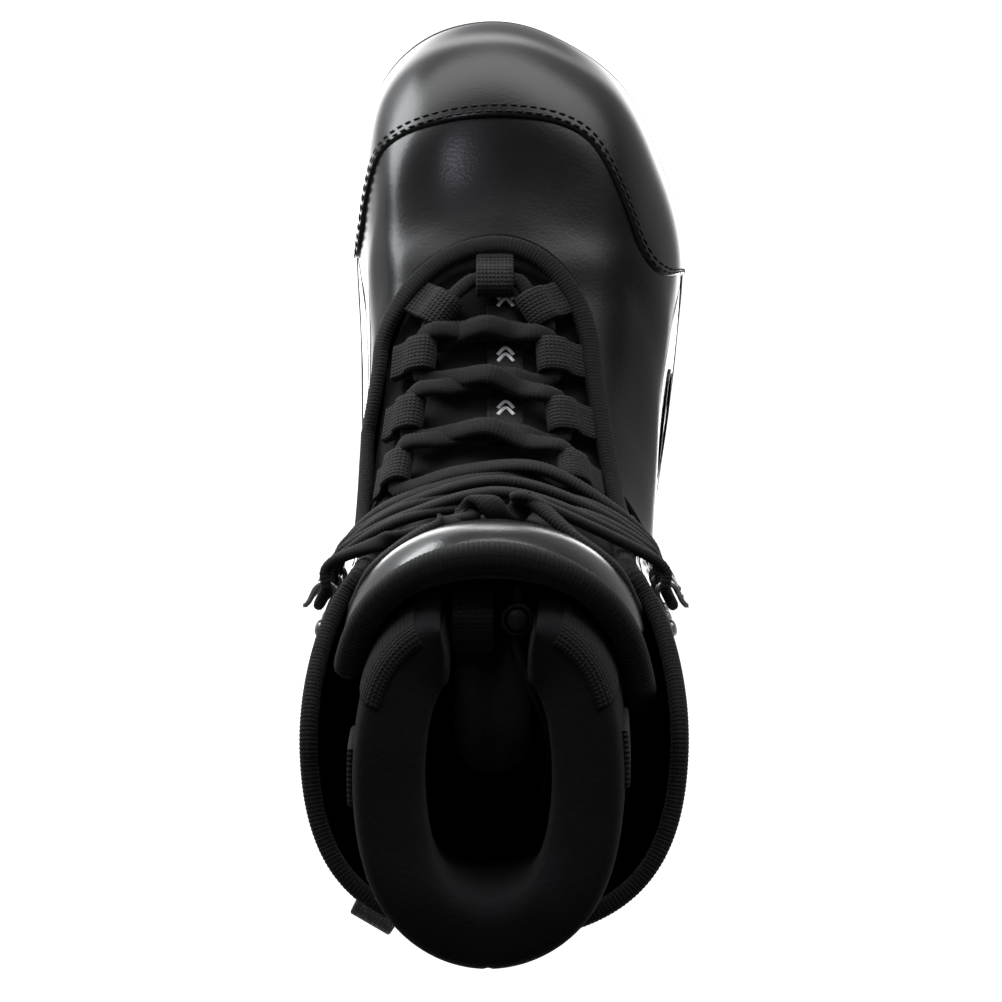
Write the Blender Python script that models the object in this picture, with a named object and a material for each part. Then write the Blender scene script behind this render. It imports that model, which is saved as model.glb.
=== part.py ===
"""Snowboard boot, right foot, laced: sole, synthetic leather shell, hinged cuff, padded tongue, removable liner.

Frame: metres, +Y to the toe, +X to the outer side of the foot, +Z up, origin at the middle of the sole on the
ground. Lengths below are in millimetres and are turned into metres when a mesh is made.

Each layer is a patch of a form. A form is a stack of closed rings: ring 0 runs round the feather line at the sole
and the last one round the collar. turn is the angle round a ring, 0 at the toe, +90 degrees on the outer side and
180 at the heel. rise is the ring number, and may fall between rings.
"""

import math

import bmesh
import bpy
import numpy as np
from mathutils import Vector

MM = 0.001

# Sole. The plan outline is given as the sideways place of its edge at every 15 degrees of turn, starting at the toe.
SOLE_HALF_LENGTH = 153.0
FOOT_OUTLINE = (-1.5, 20, 42.5, 56, 65, 63, 58, 51.5, 45, 40, 30, 15, -3)
FOOT_OUTLINE += (-21, -36, -44, -45, -46, -47.5, -48, -49.5, -46.7, -40, -24)
TOE_LIFT_FROM = 85.0
TOE_LIFT = 8.0
OUTSOLE_TOP = 9.0
MIDSOLE_TOP = 26.3
BOARD_TOP = 28.4
CUP_WALL_TOP = 35.0
GROOVE_DEPTH = 3.5
GROOVE_WIDTH = 5.0
GROOVE_PITCH = 24.0

# Ankle hinge line, which runs from side to side, and the side-view angles of the edges on each side of it.
FLEX_Y = -75.0
FLEX_Z = 112.0
LOWER_FRONT_ANGLE = math.radians(18)
CUFF_FRONT_ANGLE = math.radians(31)
LOWER_BACK_ANGLE = math.radians(8)
CUFF_BACK_ANGLE = math.radians(12)
FLEX_GAP = 1.6

# Depths below the outer face of the shell.
GAP = 0.3
LEATHER = 2.0
STIFFENER = (LEATHER + 0.7, LEATHER + 1.5)
LINING = STIFFENER
COUNTER_TOP = 3.3
LINER_FOAM = 4.5
TONGUE_THICKNESS = 4.0

# Throat opening seen from above: half widths at THROAT_MIDDLE, and how fast the two sides spread towards the ankle.
THROAT_FRONT = 74.0
THROAT_MIDDLE = 29.0
THROAT_MEDIAL = 40.0
THROAT_LATERAL = 34.5
THROAT_SPREAD = 0.13
BINDING_WIDTH = 7.0
BINDING_GAP = 1.45
BINDING_THICKNESS = 4.2

# Toe cap seam seen from above.
TOE_SEAM_FRONT = 114.0
TOE_SEAM_DROP = 50.0
TOE_CAP_LOWEST = 0.3

FLAP_TURN = math.radians(46)
LOOP_Y = (52.0, 31.0, 10.5, -9.0)
HOOK_HEIGHTS = (163.0, 182.0, 201.0)
HOOK_TURN = math.radians(54)
HOOK_WIDTH = 6.0
HOOK_STEEL = 1.2
HOOK_BEND = ((-1.0, 1.3), (0.9, 2.2), (1.7, 4.3), (0.9, 6.4), (-1.5, 7.4), (-5.5, 7.4), (-7.5, 8.0))
RIVET_BACK = 11.5
RIVET_HOLE = 1.6
RIM_FRONT = 214.0
RIM_SIDE = 239.0

# Lace, its loops of webbing and its half knot.
LACE_WIDTH = 5.0
LACE_THICKNESS = 3.6
LACE_IN_LOOP = (9.0, 1.95)
LACE_AT_HOOK = 4.3
LOOP_WIDTH = 10.0
LOOP_FOLD = ((0.5, 1.7), (3.6, 3.0), (5.6, 4.7), (9.0, 5.2), (12.4, 4.5), (14, 1.95))
LOOP_FOLD += ((12.4, -0.6), (9.0, -1.3), (5.6, -0.9), (3.6, -0.3), (0.5, 0.1))
KNOT_RISE = 7.75
KNOT_HEIGHT = 6.4
KNOT_RADIUS = 2.9
TIP_LENGTH = 16.0
LACE_PITCH = 5.0

# Tongue top, and the liner's tongue, cord and lock.
TONGUE_TURN = math.radians(66)
TONGUE_TOP = 273.0
TONGUE_ARCH = 26.0
TONGUE_CLEARANCE = 0.06
LINER_SLOT = math.radians(24)
LINER_TONGUE_LINE = ((-36, 188), (-38.5, 215), (-46, 240), (-60, 256), (-78, 262), (-94, 256))
LINER_TONGUE_WIDTH = 22.5
LINER_TONGUE_THICKNESS = 11.0
CORD_LOCK = (6.0, -49.0, 265.0)
CORD_RAISE = 3.6
CORD_ROUTE = ((10.5, -70, 266), (15, -83, 256), (15, -98, 240), (11, -109, 222), (8, -112, 205))
PULL_LOOP_TOP = 228.0
PULL_LOOP_BEND = ((1.4, 5), (1.4, -6), (1.6, -26), (5, -31), (11, -28), (12.6, -16), (10.8, -4), (6, 2), (3.1, 5))

# Rings of a form: front y and z, back y and z, side z, share of the foot outline's width, weight of the shaft's
# oval, half width of that oval, and its sideways shift.
SHELL_RINGS = (
    (149, 27, -149, 27, 27, 0.95, 0, 53, 2),
    (150.5, 41, -151.5, 46, 43, 0.975, 0, 53, 2),
    (141, 60, -152, 62, 60, 0.96, 0, 53, 2),
    (119, 78.5, -151, 79, 76, 0.905, 0.05, 52, 2),
    (82, 94, -148, 98, 92, 0.86, 0.2, 51, 1),
    (32, 119, -145, 120, 110, 0.86, 0.5, 51, 0),
    (-4, 149, -142.5, 145, 133, 0.86, 0.8, 53, 0),
    (-15, 190, -141, 180, 176, 0.86, 1, 54, 0),
    (-21, 230, -142.5, 225, 222, 0.86, 1, 56, -0.5),
    (-27, 270, -145, 268, 266, 0.86, 1, 58, -1),
)
LINER_RINGS = (
    (143.5, 29.5, -144.5, 29.5, 29.5, 0.845, 0, 47, 2),
    (145, 41, -146.8, 46, 43, 0.865, 0, 47, 2),
    (136, 56.5, -147.2, 62, 60, 0.85, 0, 47, 2),
    (114.5, 73.5, -146, 79, 76, 0.79, 0.05, 46, 2),
    (78, 86.5, -143, 98, 92, 0.745, 0.2, 45, 1),
    (27, 110, -140, 120, 110, 0.745, 0.5, 44.5, 0),
    (-12, 143.5, -137.5, 145, 133, 0.745, 0.8, 42, 0),
    (-25, 188, -136, 180, 176, 0.745, 1, 40.5, -0.5),
    (-31, 230, -138, 225, 222, 0.745, 1, 40, -1),
    (-39, 268, -142, 268, 267, 0.745, 1, 39.5, -2),
    (-46, 289, -146, 291, 290, 0.745, 1, 39, -2.5),
)
TONGUE_RINGS = SHELL_RINGS[:4] + (
    (80.2, 91.4, -146, 98, 92, 0.82, 0.2, 48.5, 1),
    (30.2, 116.6, -143, 120, 110, 0.82, 0.5, 48.5, 0),
    (-6.2, 147.4, -140.5, 145, 133, 0.82, 0.8, 48, 0),
    (-18.5, 189.5, -139, 180, 176, 0.82, 1, 46, 0),
    (-25, 230, -140.5, 225, 222, 0.82, 1, 45.5, -0.5),
    (-31, 268, -143, 268, 266, 0.82, 1, 45, -1.5),
    (-35, 284, -144, 284, 283, 0.82, 1, 44, -2),
)


# ---------------------------------------------------------------- forms


def smooth(share):
    share = min(max(share, 0.0), 1.0)
    return share * share * (3 - 2 * share)


def between(a, b, share):
    return a + (b - a) * share


def spline(values, at, closed=False):
    """Catmull-Rom curve through evenly spaced values."""
    index = math.floor(at)
    if not closed:
        index = min(max(index, 0), len(values) - 2)
    share = at - index
    last = len(values) - 1
    picked = []
    for step in (-1, 0, 1, 2):
        place = index + step
        picked.append(values[place % len(values)] if closed else values[min(max(place, 0), last)])
    before, here, there, after = picked
    return here + 0.5 * share * (
        there - before
        + share * (2 * before - 5 * here + 4 * there - after + share * (3 * (here - there) + after - before))
    )


def foot_x(turn):
    return spline(FOOT_OUTLINE, (math.degrees(turn) % 360) / 15, closed=True)


def toe_lift(y):
    return TOE_LIFT * max(0.0, (y - TOE_LIFT_FROM) / (SOLE_HALF_LENGTH - TOE_LIFT_FROM)) ** 2


def place_on(form, turn, rise):
    """The point of a form at a turn and a rise."""
    front_y, front_z, back_y, back_z, side_z, foot, oval, half, shift = (
        spline([ring[i] for ring in form], rise) for i in range(9)
    )
    along = math.cos(turn)
    y = (front_y + back_y) / 2 + (front_y - back_y) / 2 * along
    oval_x = shift + half * math.sin(turn) * (1 + 0.25 * along * along)
    x = between(foot * foot_x(turn), oval_x, oval)
    share = (1 + along) / 2
    bend = 2 * side_z - (front_z + back_z) / 2
    z = back_z * (1 - share) ** 2 + 2 * bend * share * (1 - share) + front_z * share**2
    return Vector((x, y, z + toe_lift(y)))


def outward(form, turn, rise):
    step = 0.02
    along = place_on(form, turn + step, rise) - place_on(form, turn - step, rise)
    up = place_on(form, turn, rise + step) - place_on(form, turn, rise - step)
    return up.cross(along).normalized()


def under(form, turn, rise, depth):
    """The point this deep below a form's face. A negative depth stands proud of it."""
    return place_on(form, turn, rise) - outward(form, turn, rise) * depth


def rise_where(form, turn, test, low, high):
    """The rise at which test(point) turns from true to false."""
    if not test(place_on(form, turn, low)):
        return low
    if test(place_on(form, turn, high)):
        return high
    for _ in range(30):
        middle = (low + high) / 2
        if test(place_on(form, turn, middle)):
            low = middle
        else:
            high = middle
    return low


def locate(form, point, turn, rise):
    """The turn and rise of the place on a form nearest to a point, from a first guess."""
    step = 0.01
    for _ in range(12):
        here = place_on(form, turn, rise)
        along = (place_on(form, turn + step, rise) - here) / step
        up = (place_on(form, turn, rise + step) - here) / step
        gap = point - here
        spread = along.dot(along) * up.dot(up) - along.dot(up) ** 2
        turn += (along.dot(gap) * up.dot(up) - up.dot(gap) * along.dot(up)) / spread
        rise += (up.dot(gap) * along.dot(along) - along.dot(gap) * along.dot(up)) / spread
    return turn, rise


def rise_at_height(form, turn, height):
    return rise_where(form, turn, lambda p: p.z < height, 0, len(form) - 1)


def flex_line(y, front_angle, back_angle, raised=0.0):
    """Height in side view of an edge that runs through the hinge line."""
    reach = y - FLEX_Y
    return FLEX_Z + raised + abs(reach) * math.tan(front_angle if reach > 0 else back_angle)


def lower_top(form, turn):
    """Rise at which the pieces below the ankle end."""
    return rise_where(form, turn, lambda p: p.z < flex_line(p.y, LOWER_FRONT_ANGLE, LOWER_BACK_ANGLE), 2, 8)


def cuff_bottom(form, turn):
    """Rise at which the pieces above the ankle start."""
    return rise_where(
        form, turn, lambda p: p.z < flex_line(p.y, CUFF_FRONT_ANGLE, CUFF_BACK_ANGLE, FLEX_GAP), 2, 9
    )


def throat_half_width(x, y, inset):
    """Half width of the throat opening, seen from above, on the side that x is on."""
    half = (THROAT_LATERAL if x > 0 else THROAT_MEDIAL) - inset
    if y < THROAT_MIDDLE:
        return half + (THROAT_MIDDLE - y) * THROAT_SPREAD
    reach = (y - THROAT_MIDDLE) / (THROAT_FRONT - inset - THROAT_MIDDLE)
    return half * math.sqrt(1 - reach * reach) if reach < 1 else -1.0


def throat_rise(form, turn, inset=0.0):
    return rise_where(form, turn, lambda p: abs(p.x) > throat_half_width(p.x, p.y, inset), 3.2, 8)


def toe_seam_y(x):
    if x < 0:
        return max(TOE_SEAM_FRONT - TOE_SEAM_DROP * (-x / 50) ** 6, 60)
    return max(TOE_SEAM_FRONT - TOE_SEAM_DROP * (x / 56) ** 3, 65)


def toe_seam_rise(form, turn):
    return rise_where(form, turn, lambda p: p.y > toe_seam_y(p.x), 0, 3.6)


# ---------------------------------------------------------------- meshes


def material(name, colour, roughness, metallic=0.0):
    made = bpy.data.materials.get(name) or bpy.data.materials.new(name)
    made.use_nodes = True
    shader = made.node_tree.nodes["Principled BSDF"]
    shader.inputs["Base Color"].default_value = (*colour, 1)
    shader.inputs["Roughness"].default_value = roughness
    shader.inputs["Metallic"].default_value = metallic
    return made


def black_leather():
    return material("black_leather", (0.012, 0.012, 0.014), 0.25)


def black_webbing():
    return material("black_webbing", (0.03, 0.028, 0.028), 0.85)


def black_textile():
    return material("black_textile", (0.02, 0.02, 0.022), 0.9)


def liner_textile():
    return material("liner_textile", (0.022, 0.023, 0.027), 0.9)


def black_rubber():
    return material("black_rubber", (0.02, 0.02, 0.02), 0.6)


def black_plastic():
    return material("black_plastic", (0.03, 0.03, 0.03), 0.4)


def hook_metal():
    return material("hook_metal", (0.55, 0.55, 0.56), 0.3, 1.0)


def add_mesh(name, points, faces, finish):
    """Makes an object from points in millimetres, with its faces turned outwards."""
    mesh = bpy.data.meshes.new(name)
    mesh.from_pydata([Vector(p) * MM for p in points], [], faces)
    work = bmesh.new()
    work.from_mesh(mesh)
    bmesh.ops.recalc_face_normals(work, faces=work.faces)
    if work.calc_volume(signed=True) < 0:
        bmesh.ops.reverse_faces(work, faces=work.faces)
    work.to_mesh(mesh)
    work.free()
    mesh.shade_smooth()
    mesh.set_sharp_from_angle(angle=math.radians(40))
    mesh.materials.append(finish)
    made = bpy.data.objects.new(name, mesh)
    bpy.context.scene.collection.objects.link(made)
    return made


def add_patch(name, form, turns, lows, highs, rows, depths, finish):
    """A curved sheet between two depths of a form, from lows to highs at each turn."""
    columns = len(turns)
    points = []
    for face in (0, 1):
        for turn, low, high in zip(turns, lows, highs):
            for row in range(rows):
                rise = between(low, high, row / (rows - 1))
                depth = depths[face](rise) if callable(depths[face]) else depths[face]
                points.append(under(form, turn, rise, depth))
    half = columns * rows

    def at(column, row, face):
        return face * half + column * rows + row

    faces = []
    for column in range(columns - 1):
        for row in range(rows - 1):
            square = [(column, row), (column + 1, row), (column + 1, row + 1), (column, row + 1)]
            faces.append([at(*corner, 0) for corner in square])
            faces.append([at(*corner, 1) for corner in reversed(square)])
    edge = [(column, 0) for column in range(columns)]
    edge += [(columns - 1, row) for row in range(1, rows)]
    edge += [(column, rows - 1) for column in range(columns - 2, -1, -1)]
    edge += [(0, row) for row in range(rows - 2, 0, -1)]
    for here, there in zip(edge, edge[1:] + edge[:1]):
        faces.append([at(*here, 0), at(*here, 1), at(*there, 1), at(*there, 0)])
    return add_mesh(name, points, faces, finish)


def add_stack(name, rings, finish):
    """A solid through a stack of closed rings. Both ends are closed by rungs from side to side."""
    count = len(rings[0])
    points = [point for ring in rings for point in ring]
    faces = []
    for level in range(len(rings) - 1):
        for i in range(count):
            j = (i + 1) % count
            base, above = level * count, (level + 1) * count
            faces.append([base + i, base + j, above + j, above + i])
    for base in (0, (len(rings) - 1) * count):
        faces.append([base, base + 1, base + count - 1])
        for i in range(1, count // 2 - 1):
            faces.append([base + i, base + i + 1, base + count - i - 1, base + count - i])
        middle = count // 2
        faces.append([base + middle - 1, base + middle, base + middle + 1])
    return add_mesh(name, points, faces, finish)


def add_sweep(name, stations, outline, finish):
    """Sweeps a closed outline along stations, each a centre with a sideways and an upward direction."""
    points = []
    for centre, side, up in stations:
        points += [centre + side * a + up * b for a, b in outline]
    count = len(outline)
    faces = [list(range(count)), list(range(len(points) - count, len(points)))]
    for level in range(len(stations) - 1):
        for i in range(count):
            j = (i + 1) % count
            base, above = level * count, (level + 1) * count
            faces.append([base + i, base + j, above + j, above + i])
    return add_mesh(name, points, faces, finish)


def add_spun(name, profile, sides, finish):
    """A solid of revolution about Z, from (radius, height) pairs in millimetres that close on the axis or a loop."""
    points = []
    for radius, height in profile:
        for i in range(sides):
            angle = math.tau * i / sides
            points.append(Vector((radius * math.cos(angle), radius * math.sin(angle), height)))
    faces = []
    loops = len(profile)
    for level in range(loops):
        above = (level + 1) % loops
        for i in range(sides):
            j = (i + 1) % sides
            faces.append([level * sides + i, level * sides + j, above * sides + j, above * sides + i])
    made = add_mesh(name, points, faces, finish)
    work = bmesh.new()
    work.from_mesh(made.data)
    bmesh.ops.remove_doubles(work, verts=work.verts, dist=1e-6)
    bmesh.ops.dissolve_degenerate(work, edges=work.edges, dist=1e-6)
    bmesh.ops.recalc_face_normals(work, faces=work.faces)
    work.to_mesh(made.data)
    work.free()
    return made


def oval_outline(width, thickness, count):
    """A rounded oblong, as offsets across and up."""
    power = 0.75
    outline = []
    for i in range(count):
        angle = math.tau * (i + 0.5) / count
        across, up = math.cos(angle), math.sin(angle)
        across = math.copysign(abs(across) ** power, across)
        up = math.copysign(abs(up) ** power, up)
        outline.append((across * width / 2, up * thickness / 2))
    return outline


def strip_outline(path, thickness):
    """The outline of a thin strip that follows a path of (across, up) points."""
    left, right = [], []
    for i, point in enumerate(path):
        before = path[max(i - 1, 0)]
        after = path[min(i + 1, len(path) - 1)]
        along = Vector((after[0] - before[0], after[1] - before[1])).normalized()
        off = Vector((-along.y, along.x)) * thickness / 2
        left.append((point[0] + off.x, point[1] + off.y))
        right.append((point[0] - off.x, point[1] - off.y))
    return left + right[::-1]


def resample(points, pitch):
    """Points a pitch apart on a smooth curve through the given ones."""
    coarse = [Vector(p) for p in points]
    fine = []
    for i in range(len(coarse) - 1):
        for step in range(12):
            at = i + step / 12
            fine.append(Vector([spline([p[axis] for p in coarse], at) for axis in range(3)]))
    fine.append(coarse[-1])
    lengths = [0.0]
    for a, b in zip(fine, fine[1:]):
        lengths.append(lengths[-1] + (b - a).length)
    count = max(2, round(lengths[-1] / pitch) + 1)
    wanted = np.linspace(0, lengths[-1], count)
    axes = [np.interp(wanted, lengths, [p[axis] for p in fine]) for axis in range(3)]
    return [Vector(p) for p in zip(*axes)]


def directions(points):
    """The unit tangent at each point of a line."""
    found = []
    for i in range(len(points)):
        ahead = points[min(i + 1, len(points) - 1)] - points[max(i - 1, 0)]
        found.append(ahead.normalized())
    return found


def stations_along(points, ups):
    """Sweep stations for a line whose upward directions are given."""
    made = []
    for centre, along, up in zip(points, directions(points), ups):
        up = (up - along * up.dot(along)).normalized()
        made.append((centre, along.cross(up), up))
    return made


def cut(piece, cutter):
    boolean = piece.modifiers.new("cut", "BOOLEAN")
    boolean.object = cutter
    boolean.operation = "DIFFERENCE"
    cutter.hide_render = True
    cutter.display_type = "WIRE"


def add_box(name, centre, size, finish):
    corners = [
        Vector(centre) + Vector((sx * size[0] / 2, sy * size[1] / 2, sz * size[2] / 2))
        for sx in (-1, 1)
        for sy in (-1, 1)
        for sz in (-1, 1)
    ]
    sides = [[0, 1, 3, 2], [4, 6, 7, 5], [0, 4, 5, 1], [2, 3, 7, 6], [0, 2, 6, 4], [1, 5, 7, 3]]
    return add_mesh(name, corners, sides, finish)


def turns_between(first, last, step_degrees):
    count = max(2, round(math.degrees(abs(last - first)) / step_degrees) + 1)
    return list(np.linspace(first, last, count))


# ---------------------------------------------------------------- sole

RING_COUNT = 40


def ring_turns():
    return [math.tau * i / RING_COUNT for i in range(RING_COUNT)]


def sole_ring(height, inset, width_share=1.0):
    """A level ring round the sole, drawn in by inset from the outline and bent up at the toe."""
    ring = []
    for turn in ring_turns():
        y = (SOLE_HALF_LENGTH - inset) * math.cos(turn)
        x = foot_x(turn) * width_share * (1 - inset / 55)
        ring.append(Vector((x, y, height + toe_lift(y))))
    return ring


def make_sole():
    rings = [sole_ring(0, 3.5), sole_ring(1.5, 1.2), sole_ring(OUTSOLE_TOP, 0.8)]
    outsole = add_stack("outsole", rings, black_rubber())
    for side in (-1, 1):
        for step in range(6):
            y = side * (GROOVE_PITCH / 2 + GROOVE_PITCH * step)
            size = (180, GROOVE_WIDTH, 2 * GROOVE_DEPTH)
            centre = (0, y, toe_lift(y))
            cut(outsole, add_box(f"groove_cutter_{side}_{step}", centre, size, black_rubber()))

    cup_inside = []
    for height in (CUP_WALL_TOP, 31.0, MIDSOLE_TOP):
        ring = []
        for turn in ring_turns():
            rise = max(rise_at_height(SHELL_RINGS, turn, height + toe_lift(place_on(SHELL_RINGS, turn, 0).y)), 0)
            point = under(SHELL_RINGS, turn, rise, -0.9)
            if height == MIDSOLE_TOP:
                point.z = height + toe_lift(point.y)
            ring.append(point)
        cup_inside.append(ring)
    rings = [sole_ring(OUTSOLE_TOP + GAP, 0.8), sole_ring(20, 0), sole_ring(CUP_WALL_TOP - 1.5, 0.3)]
    rings.append(sole_ring(CUP_WALL_TOP, 0.9))
    add_stack("midsole", rings + cup_inside, black_rubber())

    board = [sole_ring(height, 6.5) for height in (MIDSOLE_TOP + GAP, BOARD_TOP)]
    add_stack("lasting_board", board, material("board_fibre", (0.35, 0.3, 0.24), 0.9))


# ---------------------------------------------------------------- lower shell


def lower_panel(name, first, last, low, finish, depths=(0, LEATHER), step=5.0, rows=7):
    """A shell panel below the ankle, up to the throat or the flex line."""
    turns = turns_between(first, last, step)
    lows = [low(turn) for turn in turns]
    highs = [min(throat_rise(SHELL_RINGS, turn), lower_top(SHELL_RINGS, turn)) for turn in turns]
    return add_patch(name, SHELL_RINGS, turns, lows, highs, rows, depths, finish)


def make_lower_shell():
    seam = math.radians(66)
    heel = math.radians(128)
    apart = math.radians(0.4)

    def from_sole(turn):
        return 0.0

    toe_turns = turns_between(-seam + apart, seam - apart, 5)
    ends = [max(toe_seam_rise(SHELL_RINGS, turn), TOE_CAP_LOWEST) for turn in toe_turns]
    lows = [0.0] * len(toe_turns)
    add_patch("toe_cap", SHELL_RINGS, toe_turns, lows, ends, 7, (0, LEATHER), black_leather())

    def above_toe_cap(turn):
        nearer = math.copysign(max(abs(turn) - math.radians(0.9), 0), turn)
        return max(toe_seam_rise(SHELL_RINGS, nearer), TOE_CAP_LOWEST) + 0.05

    lower_panel("vamp", -seam + apart, seam - apart, above_toe_cap, black_leather())
    lower_panel("quarter_lateral", seam + apart, heel - apart, from_sole, black_leather())
    lower_panel("quarter_medial", math.tau - heel + apart, math.tau - seam - apart, from_sole, black_leather())
    lower_panel("heel_cap", heel + apart, math.tau - heel - apart, from_sole, black_leather())

    puff_turns = turns_between(-math.radians(52), math.radians(52), 6)
    puff_low = [0.25] * len(puff_turns)
    puff_high = [max(toe_seam_rise(SHELL_RINGS, turn) - 0.35, 0.6) for turn in puff_turns]
    add_patch("toe_puff", SHELL_RINGS, puff_turns, puff_low, puff_high, 6, STIFFENER, black_plastic())
    counter_turns = turns_between(math.radians(112), math.tau - math.radians(112), 7)
    low = [0.25] * len(counter_turns)
    high = [COUNTER_TOP] * len(counter_turns)
    add_patch("heel_counter", SHELL_RINGS, counter_turns, low, high, 5, STIFFENER, black_plastic())


def make_lining():
    """The thin stretch lining glued inside the shell round the ankle. It bridges the gap under the cuff."""
    first = math.radians(70)
    turns = turns_between(first, math.tau - first, 8)
    lows = [COUNTER_TOP + 0.1] * len(turns)
    highs = [cuff_bottom(SHELL_RINGS, turn) + 0.35 for turn in turns]
    add_patch("ankle_lining", SHELL_RINGS, turns, lows, highs, 6, LINING, liner_textile())


def line_with_ups(points, ups, pitch):
    """Resamples a line together with its upward directions."""
    line = resample(points, pitch)
    lengths = [0.0]
    for a, b in zip(points, points[1:]):
        lengths.append(lengths[-1] + (b - a).length)
    wanted = np.linspace(0, lengths[-1], len(line))
    axes = [np.interp(wanted, lengths, [up[axis] for up in ups]) for axis in range(3)]
    return line, [Vector(up).normalized() for up in zip(*axes)]


def add_binding(name, form, spots, depth, width, thickness):
    """A padded roll beside an edge that is given by its turns and rises, on the edge's left seen from outside."""
    edge = [place_on(form, *spot) for spot in spots]
    ups = [outward(form, *spot) for spot in spots]
    points = []
    for here, along, up in zip(edge, directions(edge), ups):
        points.append(here + along.cross(up).normalized() * (width / 2 + BINDING_GAP) - up * depth)
    line, line_ups = line_with_ups(points, ups, 6.5)
    add_sweep(name, stations_along(line, line_ups), oval_outline(width, thickness, 8), black_webbing())


def make_throat_binding():
    spots = [(turn, throat_rise(SHELL_RINGS, turn)) for turn in turns_between(-math.radians(75), math.radians(75), 2.5)]
    spots = [spot for spot in spots if spot[1] < lower_top(SHELL_RINGS, spot[0]) - 0.04]
    add_binding("throat_binding", SHELL_RINGS, spots, -1.0, BINDING_WIDTH, BINDING_THICKNESS)


# ---------------------------------------------------------------- tongue and liner foot


def make_lower_tongue():
    inset = BINDING_WIDTH + 1.6
    turns = turns_between(-math.radians(60), math.radians(60), 4)
    lows = [throat_rise(TONGUE_RINGS, turn, inset) for turn in turns]
    highs = [lower_top(TONGUE_RINGS, turn) for turn in turns]
    kept = [i for i in range(len(turns)) if lows[i] < highs[i] - 0.03]
    turns, lows, highs = ([values[i] for i in kept] for values in (turns, lows, highs))
    depths = (0, TONGUE_THICKNESS)
    add_patch("tongue_lower", TONGUE_RINGS, turns, lows, highs, 8, depths, black_textile())

    turns = turns_between(math.radians(-2.5), math.radians(8.5), 3)
    lows = [throat_rise(TONGUE_RINGS, turn, inset + 15) for turn in turns]
    highs = [lower_top(TONGUE_RINGS, turn) - 0.1 for turn in turns]
    add_patch("tongue_label", TONGUE_RINGS, turns, lows, highs, 8, (-1.3, -0.3), black_webbing())


def liner_ring(share, depth):
    """A ring of the liner at a share of the way up to the ankle."""
    ring = []
    for turn in ring_turns():
        rise = lower_top(LINER_RINGS, turn) * share
        ring.append(under(LINER_RINGS, turn, rise, depth))
    return ring


def level_ring(rise, depth, height):
    """A liner ring pressed flat at a height."""
    ring = [under(LINER_RINGS, turn, rise, depth) for turn in ring_turns()]
    for point in ring:
        point.z = height + toe_lift(point.y)
    return ring


def make_liner_foot():
    shares = [0.0, 0.16, 0.32, 0.48, 0.6, 0.72, 0.86, 1.0]
    outside = [level_ring(0, 1.2, BOARD_TOP + GAP)] + [liner_ring(share, 0) for share in shares]
    inside = [liner_ring(share, LINER_FOAM) for share in reversed(shares[1:])]
    floor = level_ring(0.45, LINER_FOAM + 0.6, BOARD_TOP + LINER_FOAM)
    add_stack("liner_foot", outside + inside + [floor], liner_textile())
    bed = [level_ring(0.45, LINER_FOAM + 2.2, BOARD_TOP + LINER_FOAM + height) for height in (GAP, 3.8)]
    add_stack("footbed", bed, material("footbed_foam", (0.08, 0.08, 0.09), 0.85))


# ---------------------------------------------------------------- lace loops


def throat_spot(side, y, inset):
    """Turn and rise of the point on the throat edge, or inset from it, at a given y on one side."""
    low, high = 0.0, math.radians(85)
    for _ in range(30):
        middle = (low + high) / 2
        rise = throat_rise(SHELL_RINGS, side * middle, inset)
        if place_on(SHELL_RINGS, side * middle, rise).y > y:
            low = middle
        else:
            high = middle
    return side * low, throat_rise(SHELL_RINGS, side * low, inset)


def throat_frame(side, y):
    """Where a lace loop leaves the throat binding, with its directions inwards, along the edge and outwards."""
    inset = BINDING_WIDTH + 1.3
    here = under(SHELL_RINGS, *throat_spot(side, y, inset), 0)
    ahead = under(SHELL_RINGS, *throat_spot(side, y + 3, inset), 0)
    out = outward(SHELL_RINGS, *throat_spot(side, y, inset))
    along = (ahead - here).normalized()
    inwards = out.cross(along) * side
    return here, inwards.normalized(), along, out


def add_loop(name, frame):
    """A folded strip of webbing whose inner end goes round the lace."""
    here, inwards, along, out = frame
    profile = strip_outline(LOOP_FOLD, 1.2)
    half = LOOP_WIDTH / 2
    stations = [(here + along * reach, inwards, out) for reach in (-half, half)]
    add_sweep(name, stations, profile, black_webbing())


def make_lace_loops():
    add_loop("lace_loop_centre", centre_frame())
    for side, word in ((-1, "medial"), (1, "lateral")):
        for number, y in enumerate(LOOP_Y, start=1):
            add_loop(f"lace_loop_{word}_{number}", throat_frame(side, y))


def centre_frame():
    rise = throat_rise(SHELL_RINGS, 0, BINDING_WIDTH + 1.3)
    out = outward(SHELL_RINGS, 0, rise)
    along = Vector((1, 0, 0))
    return under(SHELL_RINGS, 0, rise, 0), along.cross(out), along, out


# ---------------------------------------------------------------- cuff


def rim_height(turn):
    """Height of the cuff's rim. It drops towards the two front corners."""
    from_front = math.degrees(min(turn % math.tau, -turn % math.tau))
    return RIM_FRONT + (RIM_SIDE - RIM_FRONT) * smooth((from_front - 46) / 50) + 6 * smooth((from_front - 90) / 70)


def rim_rise(turn):
    return rise_at_height(SHELL_RINGS, turn, rim_height(turn))


def hook_spot(side, height):
    turn = side * HOOK_TURN
    return turn, rise_at_height(SHELL_RINGS, turn, height)


def hook_frame(side, height):
    """Point on the cuff under a hook's bend, with the directions towards the throat, up and outwards."""
    spot = hook_spot(side, height)
    out = outward(SHELL_RINGS, *spot)
    up = Vector((0, 0, 1))
    up = (up - out * up.dot(out)).normalized()
    inwards = up.cross(out) * side
    return place_on(SHELL_RINGS, *spot), inwards, up, out


def standing(axis, across):
    """A rotation that turns Z to an axis and X near to another direction."""
    across = (across - axis * across.dot(axis)).normalized()
    rotation = np.array([across, axis.cross(across), axis]).T
    return [list(row) for row in rotation]


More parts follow.
